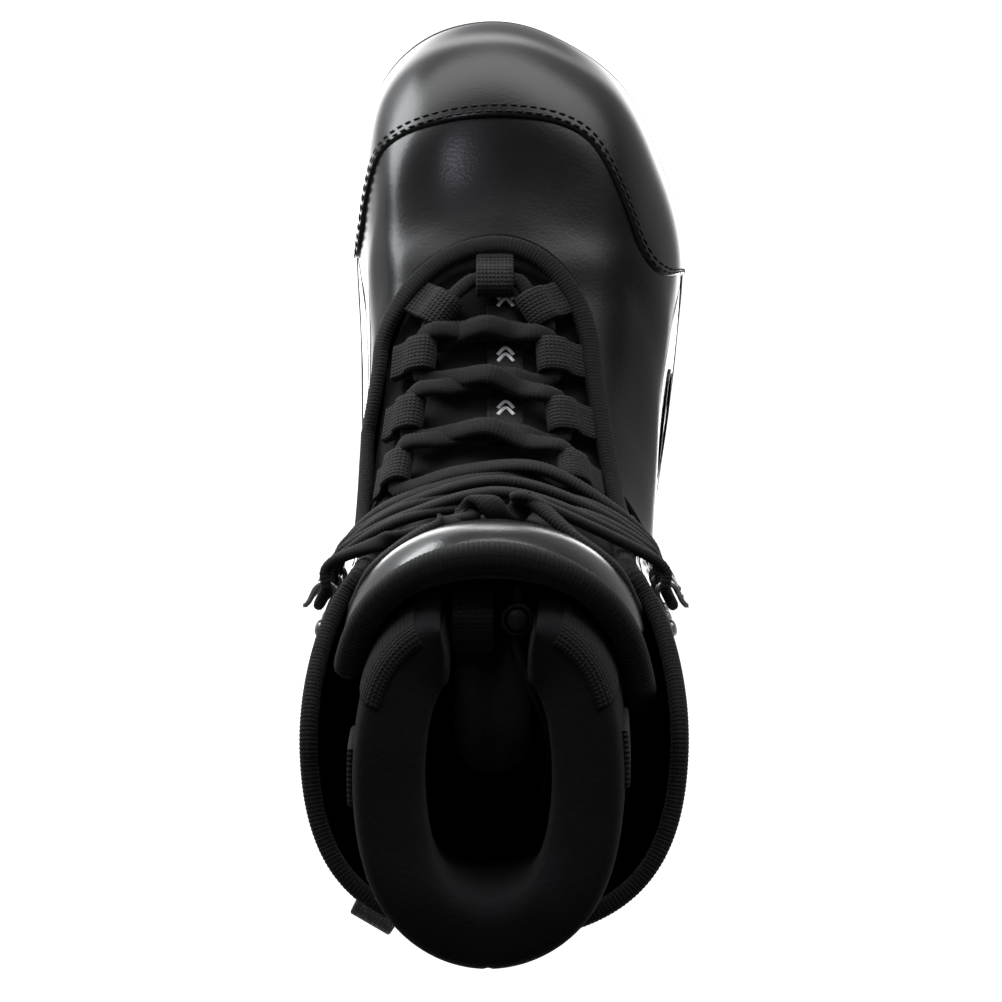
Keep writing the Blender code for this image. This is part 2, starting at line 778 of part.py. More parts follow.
def stand(piece, centre, axis, across):
    """Places a piece made about Z with its Z along an axis."""
    rows = standing(axis, across)
    for vertex in piece.data.vertices:
        vertex.co = Vector([sum(rows[i][j] * vertex.co[j] for j in range(3)) for i in range(3)]) + centre * MM


def make_cuff():
    back = math.pi - math.radians(24)
    apart = math.radians(0.4)
    panels = {"cuff_lateral": (FLAP_TURN, back - apart), "cuff_medial": (math.tau - back + apart, math.tau - FLAP_TURN)}
    panels["backstay"] = (back + apart, math.tau - back - apart)
    made = {}
    for name, (first, last) in panels.items():
        turns = turns_between(first, last, 6)
        lows = [cuff_bottom(SHELL_RINGS, turn) for turn in turns]
        highs = [rim_rise(turn) for turn in turns]
        made[name] = add_patch(name, SHELL_RINGS, turns, lows, highs, 6, (0, LEATHER), black_leather())

    # The padded roll runs up one front edge, round the rim and down the other.
    bottom, top = cuff_bottom(SHELL_RINGS, FLAP_TURN) + 0.04, rim_rise(FLAP_TURN)
    up_front = [(FLAP_TURN, between(bottom, top, i / 6)) for i in range(6)]
    round_rim = [(turn, rim_rise(turn)) for turn in turns_between(FLAP_TURN + 0.02, math.tau - FLAP_TURN - 0.02, 5)]
    down_front = [(math.tau - turn, rise) for turn, rise in reversed(up_front)]
    spots = up_front + round_rim + down_front
    add_binding("cuff_binding", SHELL_RINGS, spots, 0.4, BINDING_WIDTH, BINDING_THICKNESS)

    for side, word in ((-1, "medial"), (1, "lateral")):
        for number, height in enumerate(HOOK_HEIGHTS, start=1):
            add_hook(f"{word}_{number}", side, height, made[f"cuff_{word}"])


def add_hook(label, side, height, flap):
    """A speed hook bent from strip, with the rivet that holds it and the holes that the rivet goes through."""
    here, inwards, up, out = hook_frame(side, height)
    turn, rise = hook_spot(side, height)
    base = []
    for back in (15.5, RIVET_BACK, 7.5, 3.5):
        spot = locate(SHELL_RINGS, here - inwards * back, turn + side * back / 55, rise)
        point = under(SHELL_RINGS, *spot, -1.3) - here
        base.append((point.dot(inwards), point.dot(out)))
        if back == RIVET_BACK:
            axis_at, axis = place_on(SHELL_RINGS, *spot), outward(SHELL_RINGS, *spot)
    half = HOOK_WIDTH / 2
    stations = [(here + up * reach, inwards, out) for reach in (-half, half)]
    profile = strip_outline(base + list(HOOK_BEND), HOOK_STEEL)
    hook = add_sweep(f"lace_hook_{label}", stations, profile, hook_metal())
    hole = add_spun(f"rivet_cutter_{label}", [(0, -8), (RIVET_HOLE, -8), (RIVET_HOLE, 8), (0, 8)], 12, hook_metal())
    stand(hole, axis_at, axis, up)
    cut(hook, hole)
    cut(flap, hole)
    profile = [(0, -3.6), (2.8, -3.6), (2.8, -2.8), (1.2, -2.8), (1.2, 2.4), (2.3, 2.4), (1.9, 3.2), (0, 3.5)]
    rivet = add_spun(f"hook_rivet_{label}", profile, 12, hook_metal())
    stand(rivet, axis_at, axis, up)


# ---------------------------------------------------------------- upper tongue


def tongue_top(turn):
    """Rise of the tongue's arched top edge."""
    share = turn / TONGUE_TURN
    return rise_at_height(TONGUE_RINGS, turn, TONGUE_TOP - TONGUE_ARCH * share * share)


def make_upper_tongue():
    turns = turns_between(-TONGUE_TURN, TONGUE_TURN, 6)
    lows = [cuff_bottom(TONGUE_RINGS, turn) + TONGUE_CLEARANCE for turn in turns]
    highs = [tongue_top(turn) for turn in turns]
    depths = (0, TONGUE_THICKNESS)
    add_patch("tongue_upper", TONGUE_RINGS, turns, lows, highs, 9, depths, black_textile())

    edge = TONGUE_TURN - math.radians(20)
    turns = turns_between(-edge, edge, 6)
    highs = [tongue_top(turn) - 0.08 for turn in turns]
    lows = [high - 0.85 for high in highs]
    add_patch("tongue_shield", TONGUE_RINGS, turns, lows, highs, 5, (-1.6, -0.6), black_leather())

    spots = [(turn, tongue_top(turn)) for turn in turns_between(-TONGUE_TURN, TONGUE_TURN, 5)]
    add_binding("tongue_binding", TONGUE_RINGS, spots, TONGUE_THICKNESS / 2, 9.0, 5.0)


# ---------------------------------------------------------------- liner shaft


def shaft_foam(rise):
    return 5 + 13 * smooth((rise - 6) / 3.5)


def rim_rounding(rise):
    return 5 * max(0.0, (rise - 9.5) / 0.5) ** 2


def make_liner_shaft():
    turns = turns_between(LINER_SLOT, math.tau - LINER_SLOT, 9)
    lows = [cuff_bottom(LINER_RINGS, turn) for turn in turns]
    highs = [10.0] * len(turns)
    depths = (rim_rounding, lambda rise: shaft_foam(rise) - rim_rounding(rise))
    add_patch("liner_shaft", LINER_RINGS, turns, lows, highs, 10, depths, liner_textile())
    for word, middle in (("medial", math.radians(270)), ("lateral", math.radians(84))):
        turns = turns_between(middle - math.radians(9), middle + math.radians(9), 6)
        lows = [9.0] * len(turns)
        highs = [9.5] * len(turns)
        add_patch(f"liner_tab_{word}", LINER_RINGS, turns, lows, highs, 3, (-1.7, -0.5), black_webbing())


def side_view_line(points, x, pitch):
    """A smooth line through (y, z) points in a plane of constant x, and its outward directions."""
    line = resample([(x, y, z) for y, z in points], pitch)
    ups = [along.cross(Vector((1, 0, 0))) * -1 for along in directions(line)]
    return line, ups


def make_liner_tongue():
    line, ups = side_view_line(LINER_TONGUE_LINE, -1.0, 7.0)
    outline = oval_outline(LINER_TONGUE_WIDTH, LINER_TONGUE_THICKNESS, 12)
    add_sweep("liner_tongue", stations_along(line, ups), outline, liner_textile())
    line, ups = side_view_line([(-40.5, 253), (-42, 264), (-48, 271), (-54.5, 269), (-58, 264.5)], -7.0, 4.0)
    add_sweep("liner_tongue_strap", stations_along(line, ups), oval_outline(12, 1.4, 8), black_webbing())


def make_cord_lock():
    """A push-button cord lock on the liner's thin cord."""
    x, y, z = CORD_LOCK
    barrel = [(0, -6), (4.6, -6), (5.0, -5), (5.0, 5.2), (4.6, 6), (3.5, 6), (3.5, -3), (0, -3)]
    body = add_spun("cord_lock_barrel", barrel, 16, black_plastic())
    plunger = [(0, 0.0), (3.2, 0.0), (3.2, 8.4), (2.6, 9.0), (0, 9.0)]
    button = add_spun("cord_lock_button", plunger, 16, black_plastic())
    coil = [(1.6, -2.7), (2.8, -2.7), (2.8, -0.3), (1.6, -0.3)]
    spring = add_spun("cord_lock_spring", coil, 12, hook_metal())
    centre = Vector(CORD_LOCK)
    for piece in (body, button, spring):
        stand(piece, centre, Vector((0, 0, 1)), Vector((1, 0, 0)))
    way = add_box("cord_way_cutter", (x, y, z + CORD_RAISE), (3.2, 20, 3.2), black_plastic())
    cut(body, way)
    slot = add_box("cord_slot_cutter", (x, y, z + CORD_RAISE + 1.5), (3.4, 20, 6.2), black_plastic())
    cut(button, slot)

    straight = [(x, y + reach, z + CORD_RAISE) for reach in (10, 1, -9)]
    points = resample(straight + list(CORD_ROUTE), 4.0)
    ups = [Vector((1, 0, 0))] * len(points)
    add_sweep("liner_cord", stations_along(points, ups), oval_outline(2.2, 2.2, 6), black_webbing())


# ---------------------------------------------------------------- lace


def crossing(start, end, raised, lift):
    """Points of one strand over the tongue between two points, low or high where it meets the other strand."""
    first = locate(TONGUE_RINGS, start, math.copysign(0.7, start.x), 6)
    last = locate(TONGUE_RINGS, end, math.copysign(0.7, end.x), 6)
    made = []
    for share, height in ((0.22, lift[0]), (0.5, 8.2 if raised else 3.9), (0.78, lift[1])):
        spot = between(first[0], last[0], share), between(first[1], last[1], share)
        made.append((under(TONGUE_RINGS, *spot, -height), outward(TONGUE_RINGS, *spot)))
    return made


def through_loop(side, y):
    """The lace comes in ahead of a loop, runs straight through it and turns back over the tongue."""
    here, inwards, along, out = throat_frame(side, y)
    middle = here + inwards * LACE_IN_LOOP[0] + out * LACE_IN_LOOP[1]
    bend = ((6, 8.0, 0.9), (0.8, 7.4, 0.5), (0, 4, 0), (0, -4, 0), (0.8, -7.6, -0.2), (6, -9.2, -2.0))
    return [(middle + inwards * a + along * b + out * lift, out) for a, b, lift in bend]


def round_hook(side, height):
    """The lace goes out below a hook, behind its bend and back above it."""
    here, inwards, up, out = hook_frame(side, height)
    bend = ((10, -7.4, 0.8), (0, -6.3, 0), (-4.6, 0, 0), (0, 6.3, 0), (10, 7.4, 0.8))
    return [(here + inwards * a + up * b + out * (LACE_AT_HOOK + lift), out) for a, b, lift in bend]


def half_of_lace(side):
    """One end of the lace, from the centre loop to the knot."""
    here, inwards, along, out = centre_frame()
    middle = here + inwards * LACE_IN_LOOP[0] + out * LACE_IN_LOOP[1]
    path = [(middle + along * side * reach, out) for reach in (3, LOOP_WIDTH / 2 + 3)]
    for number, y in enumerate(LOOP_Y):
        stretch = through_loop(side, y)
        if number:
            path += crossing(path[-1][0], stretch[0][0], side > 0, (4.8, 4.8)) + stretch
        else:
            path += stretch[2:]
        side = -side
    for number, height in enumerate(HOOK_HEIGHTS):
        stretch = round_hook(side, height)
        path += crossing(path[-1][0], stretch[0][0], side > 0, (7.5 if number else 4.8, 7.5))
        path += stretch
        side = -side
    return path, -side


def knot(side):
    """One strand of the half knot: one and a half turns round the other strand."""
    made = []
    middle = under(TONGUE_RINGS, 0, KNOT_RISE, -KNOT_HEIGHT)
    out = outward(TONGUE_RINGS, 0, KNOT_RISE)
    up = out.cross(Vector((1, 0, 0)))
    for step in range(13):
        share = step / 12
        angle = math.tau * 1.5 * share * -side + (0 if side > 0 else math.pi) + math.pi / 2
        radial = out * math.sin(angle) + up * math.cos(angle)
        made.append((middle + Vector((side * between(11, -11, share), 0, 0)) + radial * KNOT_RADIUS, radial))
    return made


def tucked_end(side):
    """From the knot over the tongue and down between the tongue and the flap."""
    spots = ((22, 8.0, 5.3), (38, 8.1, 5.0), (50, 8.0, 3.4), (56, 7.7, 2.5), (58, 7.4, 2.5))
    made = []
    for degrees, rise, height in spots:
        turn = side * math.radians(degrees)
        made.append((under(TONGUE_RINGS, turn, rise, -height), outward(TONGUE_RINGS, turn, rise)))
    return made


def make_lace():
    ends = []
    for side in (1, -1):
        path, reached = half_of_lace(side)
        ends.append(path + knot(reached) + tucked_end(-reached))
    whole = list(reversed(ends[0])) + ends[1]
    line, ups = line_with_ups([point for point, _ in whole], [up for _, up in whole], LACE_PITCH)
    print(f"lace length {LACE_PITCH * (len(line) - 1) + 2 * TIP_LENGTH:.0f} mm")
    outline = oval_outline(LACE_WIDTH, LACE_THICKNESS, 6)
    add_sweep("lace", stations_along(line, ups), outline, black_webbing())
    for word, here, along, up in (
        ("lateral" if line[0].x > 0 else "medial", line[0], (line[0] - line[1]).normalized(), ups[0]),
        ("lateral" if line[-1].x > 0 else "medial", line[-1], (line[-1] - line[-2]).normalized(), ups[-1]),
    ):
        points = [here + along * reach for reach in (GAP + 0.2, TIP_LENGTH)]
        add_sweep(f"lace_tip_{word}", stations_along(points, [up, up]), oval_outline(3.6, 3.2, 8), black_plastic())


# ---------------------------------------------------------------- heel pull loop


def make_heel_loop():
    turn = math.radians(210)
    rise = rise_at_height(SHELL_RINGS, turn, PULL_LOOP_TOP)
    here, out = place_on(SHELL_RINGS, turn, rise), outward(SHELL_RINGS, turn, rise)
    up = Vector((0, 0, 1))
    up = (up - out * up.dot(out)).normalized()
    across = up.cross(out)
    stations = [(here + across * reach, out, up) for reach in (-8, 8)]
    add_sweep("heel_pull_loop", stations, strip_outline(PULL_LOOP_BEND, 1.3), black_webbing())


# ---------------------------------------------------------------- build


def clear_scene():
    for old in list(bpy.data.objects):
        bpy.data.objects.remove(old, do_unlink=True)


def main():
    clear_scene()
    make_sole()
    make_lower_shell()
    make_lining()
    make_throat_binding()
    make_lower_tongue()
    make_liner_foot()
    make_lace_loops()
    make_cuff()
    make_upper_tongue()
    make_liner_shaft()
    make_liner_tongue()
    make_cord_lock()
    make_lace()
    make_heel_loop()


main()
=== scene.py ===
"""Looks of a black laced snowboard boot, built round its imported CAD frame.

Forms and routes are in millimetres, with the toe at +Y and the outer side at +X, as the frame has them.
A form is a stack of rings. A turn goes round a ring: 0 at the toe, a quarter turn at the outer side.
A rise goes up the stack: whole numbers are rings.
"""

import math

import bmesh
import bpy
import numpy as np
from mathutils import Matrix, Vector


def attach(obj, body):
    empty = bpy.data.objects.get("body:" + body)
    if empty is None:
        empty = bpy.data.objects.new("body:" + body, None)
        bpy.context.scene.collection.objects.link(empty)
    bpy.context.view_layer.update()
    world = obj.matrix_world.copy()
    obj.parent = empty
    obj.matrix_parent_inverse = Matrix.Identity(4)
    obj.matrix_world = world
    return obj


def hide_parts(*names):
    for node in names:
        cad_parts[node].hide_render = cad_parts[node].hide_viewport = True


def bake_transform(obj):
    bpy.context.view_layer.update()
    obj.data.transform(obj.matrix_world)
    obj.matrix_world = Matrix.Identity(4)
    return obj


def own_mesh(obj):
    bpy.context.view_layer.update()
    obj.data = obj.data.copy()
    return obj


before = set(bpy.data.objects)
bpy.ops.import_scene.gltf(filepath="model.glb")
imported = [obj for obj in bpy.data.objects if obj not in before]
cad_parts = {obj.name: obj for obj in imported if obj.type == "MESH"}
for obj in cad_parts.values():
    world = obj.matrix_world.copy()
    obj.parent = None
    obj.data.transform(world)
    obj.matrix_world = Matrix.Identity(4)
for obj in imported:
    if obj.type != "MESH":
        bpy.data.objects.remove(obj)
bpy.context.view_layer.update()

MM = 0.001

# Sole. Its plan outline is the sideways place of the edge at every 15 degrees of turn, from the toe.
SOLE_HALF_LENGTH = 153.0
FOOT_OUTLINE = (-1.5, 20, 42.5, 56, 65, 63, 58, 51.5, 45, 40, 30, 15, -3)
FOOT_OUTLINE += (-21, -36, -44, -45, -46, -47.5, -48, -49.5, -46.7, -40, -24)
TOE_LIFT_FROM = 85.0
TOE_LIFT = 8.0
OUTSOLE_TOP = 9.0
MIDSOLE_TOP = 26.3
CUP_WALL_TOP = 35.0
WALL_PROFILE = (
    (9.3, 2.4), (9.5, 1.0), (10.6, 0.4), (14.0, 0.2), (14.5, 1.0), (15.5, 1.0), (16.0, 0.15), (20, 0),
    (24.4, 0.1), (24.9, 0.8), (25.7, 0.8), (26.2, 0.1), (30.5, 0.1), (33.4, 0.15), (34.5, 0.5), (35, 1.2),
)
GROOVE_DEPTH = 3.5
GROOVE_WIDTH = 5.0
GROOVE_PITCH = 24.0

# Ankle: the hinge line, and the edges of the pieces below and above it, as slopes in side view.
FLEX_Y = -75.0
FLEX_Z = 112.0
LOWER_FRONT_ANGLE = math.radians(18)
CUFF_FRONT_ANGLE = math.radians(31)
LOWER_BACK_ANGLE = math.radians(8)
CUFF_BACK_ANGLE = math.radians(12)
FLEX_GAP = 1.6
LEATHER = 2.0

# Turns at which the panels end. The heel cap and the backstay lie over the panels beside them.
UPPER_TURN = math.radians(129)
TOE_CAP_TURN = math.radians(67)
HEEL_TURN = math.radians(127)
BACKSTAY_TURN = math.radians(157)
CAP_SEAM_SETBACKS = (2.2, 5.0)
RISE_LENGTH_AT_TOE = 38.0

# Throat of the lacing
THROAT_FRONT = 74.0
THROAT_MIDDLE = 29.0
THROAT_MEDIAL = 40.0
THROAT_LATERAL = 34.5
THROAT_SPREAD = 0.13
BINDING_WIDTH = 7.0
BINDING_GAP = 1.45
BINDING_THICKNESS = 4.2
TOE_SEAM = (
    (-56, 52), (-50, 60), (-47, 74), (-44.5, 89), (-41.5, 100), (-37, 106), (-28, 110.6),
    (-14, 114), (0, 115.2), (14, 114.4), (24, 111.8), (31, 107.5), (36, 101), (40.5, 92),
    (45, 80.5), (48.5, 70.5), (52, 64.5), (56, 62), (60, 62.4), (66, 66),
)

# Cuff, hooks and loops
FLAP_TURN = math.radians(46)
THROAT_REACH = math.radians(77)
LOOP_Y = (52.0, 31.0, 10.5, -9.0)
HOOK_HEIGHTS = (163.0, 182.0, 201.0)
HOOK_TURN = math.radians(54)
HOOK_BEND = ((-1.0, 1.3), (0.9, 2.2), (1.7, 4.3), (0.9, 6.4), (-1.5, 7.4), (-5.5, 7.4), (-7.5, 8.0))
RIVET_BACK = 11.5
RIVET_DOME = ((0, 1.6), (2.7, 1.6), (2.75, 2.2), (2.5, 2.8), (1.9, 3.3), (1.0, 3.55), (0, 3.6))
RIM_FRONT = 214.0
RIM_SIDE = 239.0
LOOP_WIDTH = 10.0
LOOP_FOLD = ((0.5, 1.7), (3.6, 3.0), (5.6, 4.7), (9.0, 5.2), (12.4, 4.5), (14, 1.95))
LOOP_FOLD += ((12.4, -0.6), (9.0, -1.3), (5.6, -0.9), (3.6, -0.3), (0.5, 0.1))
LACE_IN_LOOP = (9.0, 1.95)
LACE_AT_HOOK = 4.3
LACE_SIZE = (5.0, 3.4)
STRAND_HEIGHT_OVER, STRAND_HEIGHT_UNDER = 8.2, 3.9
KNOT_RISE = 7.75
KNOT_HEIGHT = 6.4
KNOT_RADIUS = 2.9
TIP_LENGTH = 16.0

# Tongue and liner
TONGUE_TURN = math.radians(66)
TONGUE_TOP = 273.0
TONGUE_ARCH = 26.0
TONGUE_THICKNESS = 4.0
TONGUE_ROLL_SIZE = (9.0, 8.2)
LABEL_TURNS = (math.radians(-2.5), math.radians(8.5))
LABEL_MARK_Y = (52.3, 33.4, 15.4)
LINER_SLOT = math.radians(24)
LINER_TONGUE_LINE = ((-36, 188), (-38.5, 215), (-46, 240), (-60, 256), (-78, 262), (-94, 256))
CORD_LOCK = (6.0, -49.0, 265.0)
CORD_RAISE = 3.6
CORD_ROUTE = ((10.5, -70, 266), (15, -83, 256), (15, -98, 240), (11, -109, 222), (8, -112, 205))
PULL_LOOP_TURN = math.radians(210)
PULL_LOOP_TOP = 228.0
PULL_LOOP_HALF_WIDTH = 6.8
PULL_LOOP_BEND = (
    (1.4, 5), (1.4, -6), (1.6, -26), (5, -31), (11, -28), (12.6, -16), (10.8, -4), (6, 2), (3.1, 5),
)

# Light. The floor glows close round the boot but little just ahead of the toe, and a wide panel in front
# gives a softer glow. Each lamp has its position, size in metres, power in watts and colour.
FLOOR_GLOW = 6.0
LIT_WIDTH, LIT_LENGTH = 0.085, 0.4
TOE_SHADE, TOE_SHADE_REACH = (0.015, 0.2, 0), 0.09
FRONT_GLOW = 5.0
ROOM_GLOW = 0.14
LAMPS = {
    "soft_lamp": ((-0.26, 0.76, 1.0), 0.1, 1.1, (0.86, 0.82, 1.0)),
    "low_card": ((-0.27, 0.3, 0.085), 0.16, 1.0, (0.94, 0.98, 1.0)),
}
CAMERA_PLACE = (0.0013, -0.0145, 1.4)
CAMERA_LENS = 140.0

# Rings of a form: front y and z, back y and z, side z, share of the foot outline's width, weight of the
# shaft's oval, half width of that oval, and its sideways shift.
SHELL = np.array([
    (149, 27, -149, 27, 27, 0.95, 0, 53, 2),
    (150.5, 41, -151.5, 46, 43, 0.975, 0, 53, 2),
    (141, 60, -152, 62, 60, 0.96, 0, 53, 2),
    (119, 78.5, -151, 79, 76, 0.905, 0.05, 52, 2),
    (82, 94, -148, 98, 92, 0.86, 0.2, 51, 1),
    (32, 119, -145, 120, 110, 0.86, 0.5, 51, 0),
    (-4, 149, -142.5, 145, 133, 0.86, 0.8, 53, 0),
    (-15, 190, -141, 180, 176, 0.86, 1, 54, 0),
    (-21, 230, -142.5, 225, 222, 0.86, 1, 56, -0.5),
    (-27, 270, -145, 268, 266, 0.86, 1, 58, -1),
])
LINER = np.array([
    (143.5, 29.5, -144.5, 29.5, 29.5, 0.845, 0, 47, 2),
    (145, 41, -146.8, 46, 43, 0.865, 0, 47, 2),
    (136, 56.5, -147.2, 62, 60, 0.85, 0, 47, 2),
    (114.5, 73.5, -146, 79, 76, 0.79, 0.05, 46, 2),
    (78, 86.5, -143, 98, 92, 0.745, 0.2, 45, 1),
    (27, 110, -140, 120, 110, 0.745, 0.5, 44.5, 0),
    (-12, 143.5, -137.5, 145, 133, 0.745, 0.8, 42, 0),
    (-25, 188, -136, 180, 176, 0.745, 1, 40.5, -0.5),
    (-31, 230, -138, 225, 222, 0.745, 1, 40, -1),
    (-39, 268, -142, 268, 267, 0.745, 1, 39.5, -2),
    (-46, 289, -146, 291, 290, 0.745, 1, 39, -2.5),
])
TONGUE = np.array(list(SHELL[:4]) + [
    (80.2, 91.4, -146, 98, 92, 0.82, 0.2, 48.5, 1),
    (30.2, 116.6, -143, 120, 110, 0.82, 0.5, 48.5, 0),
    (-6.2, 147.4, -140.5, 145, 133, 0.82, 0.8, 48, 0),
    (-18.5, 189.5, -139, 180, 176, 0.82, 1, 46, 0),
    (-25, 230, -140.5, 225, 222, 0.82, 1, 45.5, -0.5),
    (-31, 268, -143, 268, 266, 0.82, 1, 45, -1.5),
    (-35, 284, -144, 284, 283, 0.82, 1, 44, -2),
])


# ---------------------------------------------------------------- forms


def smooth(share):
    share = np.clip(share, 0, 1)
    return share * share * (3 - 2 * share)


def between(a, b, share):
    return a + (b - a) * share


def rounded_off(share, least=0.0):
    """The height of a quarter circle as a share goes from 0 to 1."""
    return np.sqrt(np.clip(1 - (1 - np.clip(share, 0, 1)) ** 2, least, 1))


def signed_power(values, power):
    return np.sign(values) * np.abs(values) ** power


def unit(vectors):
    return vectors / np.linalg.norm(vectors, axis=-1, keepdims=True)


def spline(values, at, closed=False):
    """Catmull-Rom curve through evenly spaced values, read at one place or at many."""
    values, at = np.asarray(values, float), np.asarray(at, float)
    index = np.floor(at).astype(int)
    last = len(values) - 1
    if not closed:
        index = np.clip(index, 0, last - 1)
    share = at - index
    if values.ndim > 1:
        share = share[..., None]
    picked = []
    for step in (-1, 0, 1, 2):
        place = index + step
        picked.append(values[place % len(values) if closed else np.clip(place, 0, last)])
    before, here, there, after = picked
    return here + 0.5 * share * (
        there - before
        + share * (2 * before - 5 * here + 4 * there - after + share * (3 * (here - there) + after - before))
    )


def foot_x(turn):
    return spline(FOOT_OUTLINE, (np.degrees(turn) % 360) / 15, closed=True)


def toe_lift(y):
    return TOE_LIFT * np.maximum(0.0, (y - TOE_LIFT_FROM) / (SOLE_HALF_LENGTH - TOE_LIFT_FROM)) ** 2


def place_on(form, turn, rise):
    """The points of a form at turns and rises."""
    turn, rise = np.broadcast_arrays(np.asarray(turn, float), np.asarray(rise, float))
    front_y, front_z, back_y, back_z, side_z, foot, oval, half, shift = np.moveaxis(spline(form, rise), -1, 0)
    along = np.cos(turn)
    y = (front_y + back_y) / 2 + (front_y - back_y) / 2 * along
    x = between(foot * foot_x(turn), shift + half * np.sin(turn) * (1 + 0.25 * along * along), oval)
    share = (1 + along) / 2
    bend = 2 * side_z - (front_z + back_z) / 2
    z = back_z * (1 - share) ** 2 + 2 * bend * share * (1 - share) + front_z * share**2
    return np.stack([x, y, z + toe_lift(y)], axis=-1)


def outward(form, turn, rise):
    step = 0.02
    turn, rise = np.broadcast_arrays(np.asarray(turn, float), np.asarray(rise, float))
    along = place_on(form, turn + step, rise) - place_on(form, turn - step, rise)
    up = place_on(form, turn, rise + step) - place_on(form, turn, rise - step)
    return unit(np.cross(up, along))


def proud(form, turn, rise, height):
    """The points this far outside a form's face. A negative height is below it."""
    return place_on(form, turn, rise) + outward(form, turn, rise) * np.asarray(height, float)[..., None]


def rise_where(form, turn, test, low, high):
    """The rises at which test(points) turns from true to false."""
    turn = np.asarray(turn, float)
    first, last = np.full(turn.shape, float(low)), np.full(turn.shape, float(high))
    never = ~test(place_on(form, turn, first))
    always = test(place_on(form, turn, last))
    low, high = first, last
    for _ in range(26):
        middle = (low + high) / 2
        inside = test(place_on(form, turn, middle))
        low, high = np.where(inside, middle, low), np.where(inside, high, middle)
    return np.where(never, first, np.where(always, last, low))


def locate(form, point, turn, rise):
    """The turn and rise of the place on a form nearest to a point, from a first guess."""
    step = 0.01
    for _ in range(12):
        here = place_on(form, turn, rise)
        along = (place_on(form, turn + step, rise) - here) / step
        up = (place_on(form, turn, rise + step) - here) / step
        gap = point - here
        spread = (along @ along) * (up @ up) - (along @ up) ** 2
        turn += ((along @ gap) * (up @ up) - (up @ gap) * (along @ up)) / spread
        rise += ((up @ gap) * (along @ along) - (along @ gap) * (along @ up)) / spread
    return turn, rise


def rise_at_height(form, turn, height):
    return rise_where(form, turn, lambda p: p[..., 2] < height, 0, len(form) - 1)


def flex_line(y, front_angle, back_angle, raised=0.0):
    reach = y - FLEX_Y
    return FLEX_Z + raised + np.abs(reach) * np.where(reach > 0, math.tan(front_angle), math.tan(back_angle))


def lower_top(form, turn):
    """Rise at which the pieces below the ankle end."""
    line = LOWER_FRONT_ANGLE, LOWER_BACK_ANGLE
    return rise_where(form, turn, lambda p: p[..., 2] < flex_line(p[..., 1], *line), 2, 8)


def cuff_bottom(form, turn):
    """Rise at which the pieces above the ankle start."""
    line = CUFF_FRONT_ANGLE, CUFF_BACK_ANGLE, FLEX_GAP
    return rise_where(form, turn, lambda p: p[..., 2] < flex_line(p[..., 1], *line), 2, 9)


def throat_half_width(x, y, inset):
    """Half width of the throat opening, seen from above, on the side that x is on."""
    half = np.where(x > 0, THROAT_LATERAL, THROAT_MEDIAL) - inset
    reach = np.clip((y - THROAT_MIDDLE) / (THROAT_FRONT - inset - THROAT_MIDDLE), 0, None)
    arch = np.where(reach < 1, half * np.sqrt(np.clip(1 - reach * reach, 0, None)), -1.0)
    return np.where(y < THROAT_MIDDLE, half + (THROAT_MIDDLE - y) * THROAT_SPREAD, arch)


def throat_rise(form, turn, inset=0.0):
    return rise_where(
        form, turn, lambda p: np.abs(p[..., 0]) > throat_half_width(p[..., 0], p[..., 1], inset), 3.2, 8
    )


def spline_y(points, x):
    """Height at x of a smooth line through points in rising order of x."""
    dense = spline(points, np.linspace(0, len(points) - 1, 40 * len(points)))
    return np.interp(x, dense[:, 0], dense[:, 1])


def toe_seam_y(x):
    """The toe cap's rear edge, seen from above: square shoulders, and a hook forwards on the outer side."""
    return spline_y(np.array(TOE_SEAM), x)


def toe_seam_rise(form, turn):
    return rise_where(form, turn, lambda p: p[..., 1] > toe_seam_y(p[..., 0]), 0, 3.6)


def ripple(points, size, seed):
    """Soft uneven waves from -1 to 1 whose length is about size."""
    draw = np.random.default_rng(seed)
    total = np.zeros(points.shape[:-1])
    for _ in range(7):
        way = unit(draw.normal(size=3)) * math.tau / (size * draw.uniform(0.7, 1.6))
        total += np.sin(points @ way + draw.uniform(0, math.tau))
    return total / 7


# ---------------------------------------------------------------- meshes


def add_mesh(name, points, faces, finish, uvs=None):
    """A smooth-shaded object from points in millimetres. uvs is one pair per point, also in millimetres."""
    mesh = bpy.data.meshes.new(name)
    places = np.asarray(points).reshape(-1, 3) * MM
    mesh.from_pydata(places.tolist(), [], [list(map(int, face)) for face in faces])
    mesh.validate()
    mesh.shade_smooth()
    if uvs is not None:
        layer = mesh.uv_layers.new(name="UVMap")
        corners = np.empty(len(mesh.loops), np.int32)
        mesh.loops.foreach_get("vertex_index", corners)
        layer.data.foreach_set("uv", np.asarray(uvs, np.float32).reshape(-1, 2)[corners].ravel())
    mesh.materials.append(finish)
    made = bpy.data.objects.new(name, mesh)
    bpy.context.scene.collection.objects.link(made)
    return made


def grid_faces(columns, rows, start=0, wrap=False, flip=False):
    """Quads of a grid whose point (column, row) is start + column * rows + row."""
    across = np.arange(columns if wrap else columns - 1)
    column, row = np.meshgrid(across, np.arange(rows - 1), indexing="ij")
    here, there = start + column * rows + row, start + (column + 1) % columns * rows + row
    quads = np.stack([here, there, there + 1, here + 1], axis=-1).reshape(-1, 4)
    return quads[:, ::-1] if flip else quads


def arc_lengths(points, axis):
    steps = np.linalg.norm(np.diff(points, axis=axis), axis=-1)
    start = np.zeros_like(np.take(steps, [0], axis=axis))
    return np.concatenate([start, np.cumsum(steps, axis=axis)], axis=axis)


def edge_shares(count, crowd=0.35):
    """Shares from 0 to 1 that crowd together near both ends."""
    even = np.linspace(0, 1, count)
    return between(even, smooth(even), crowd * 2)


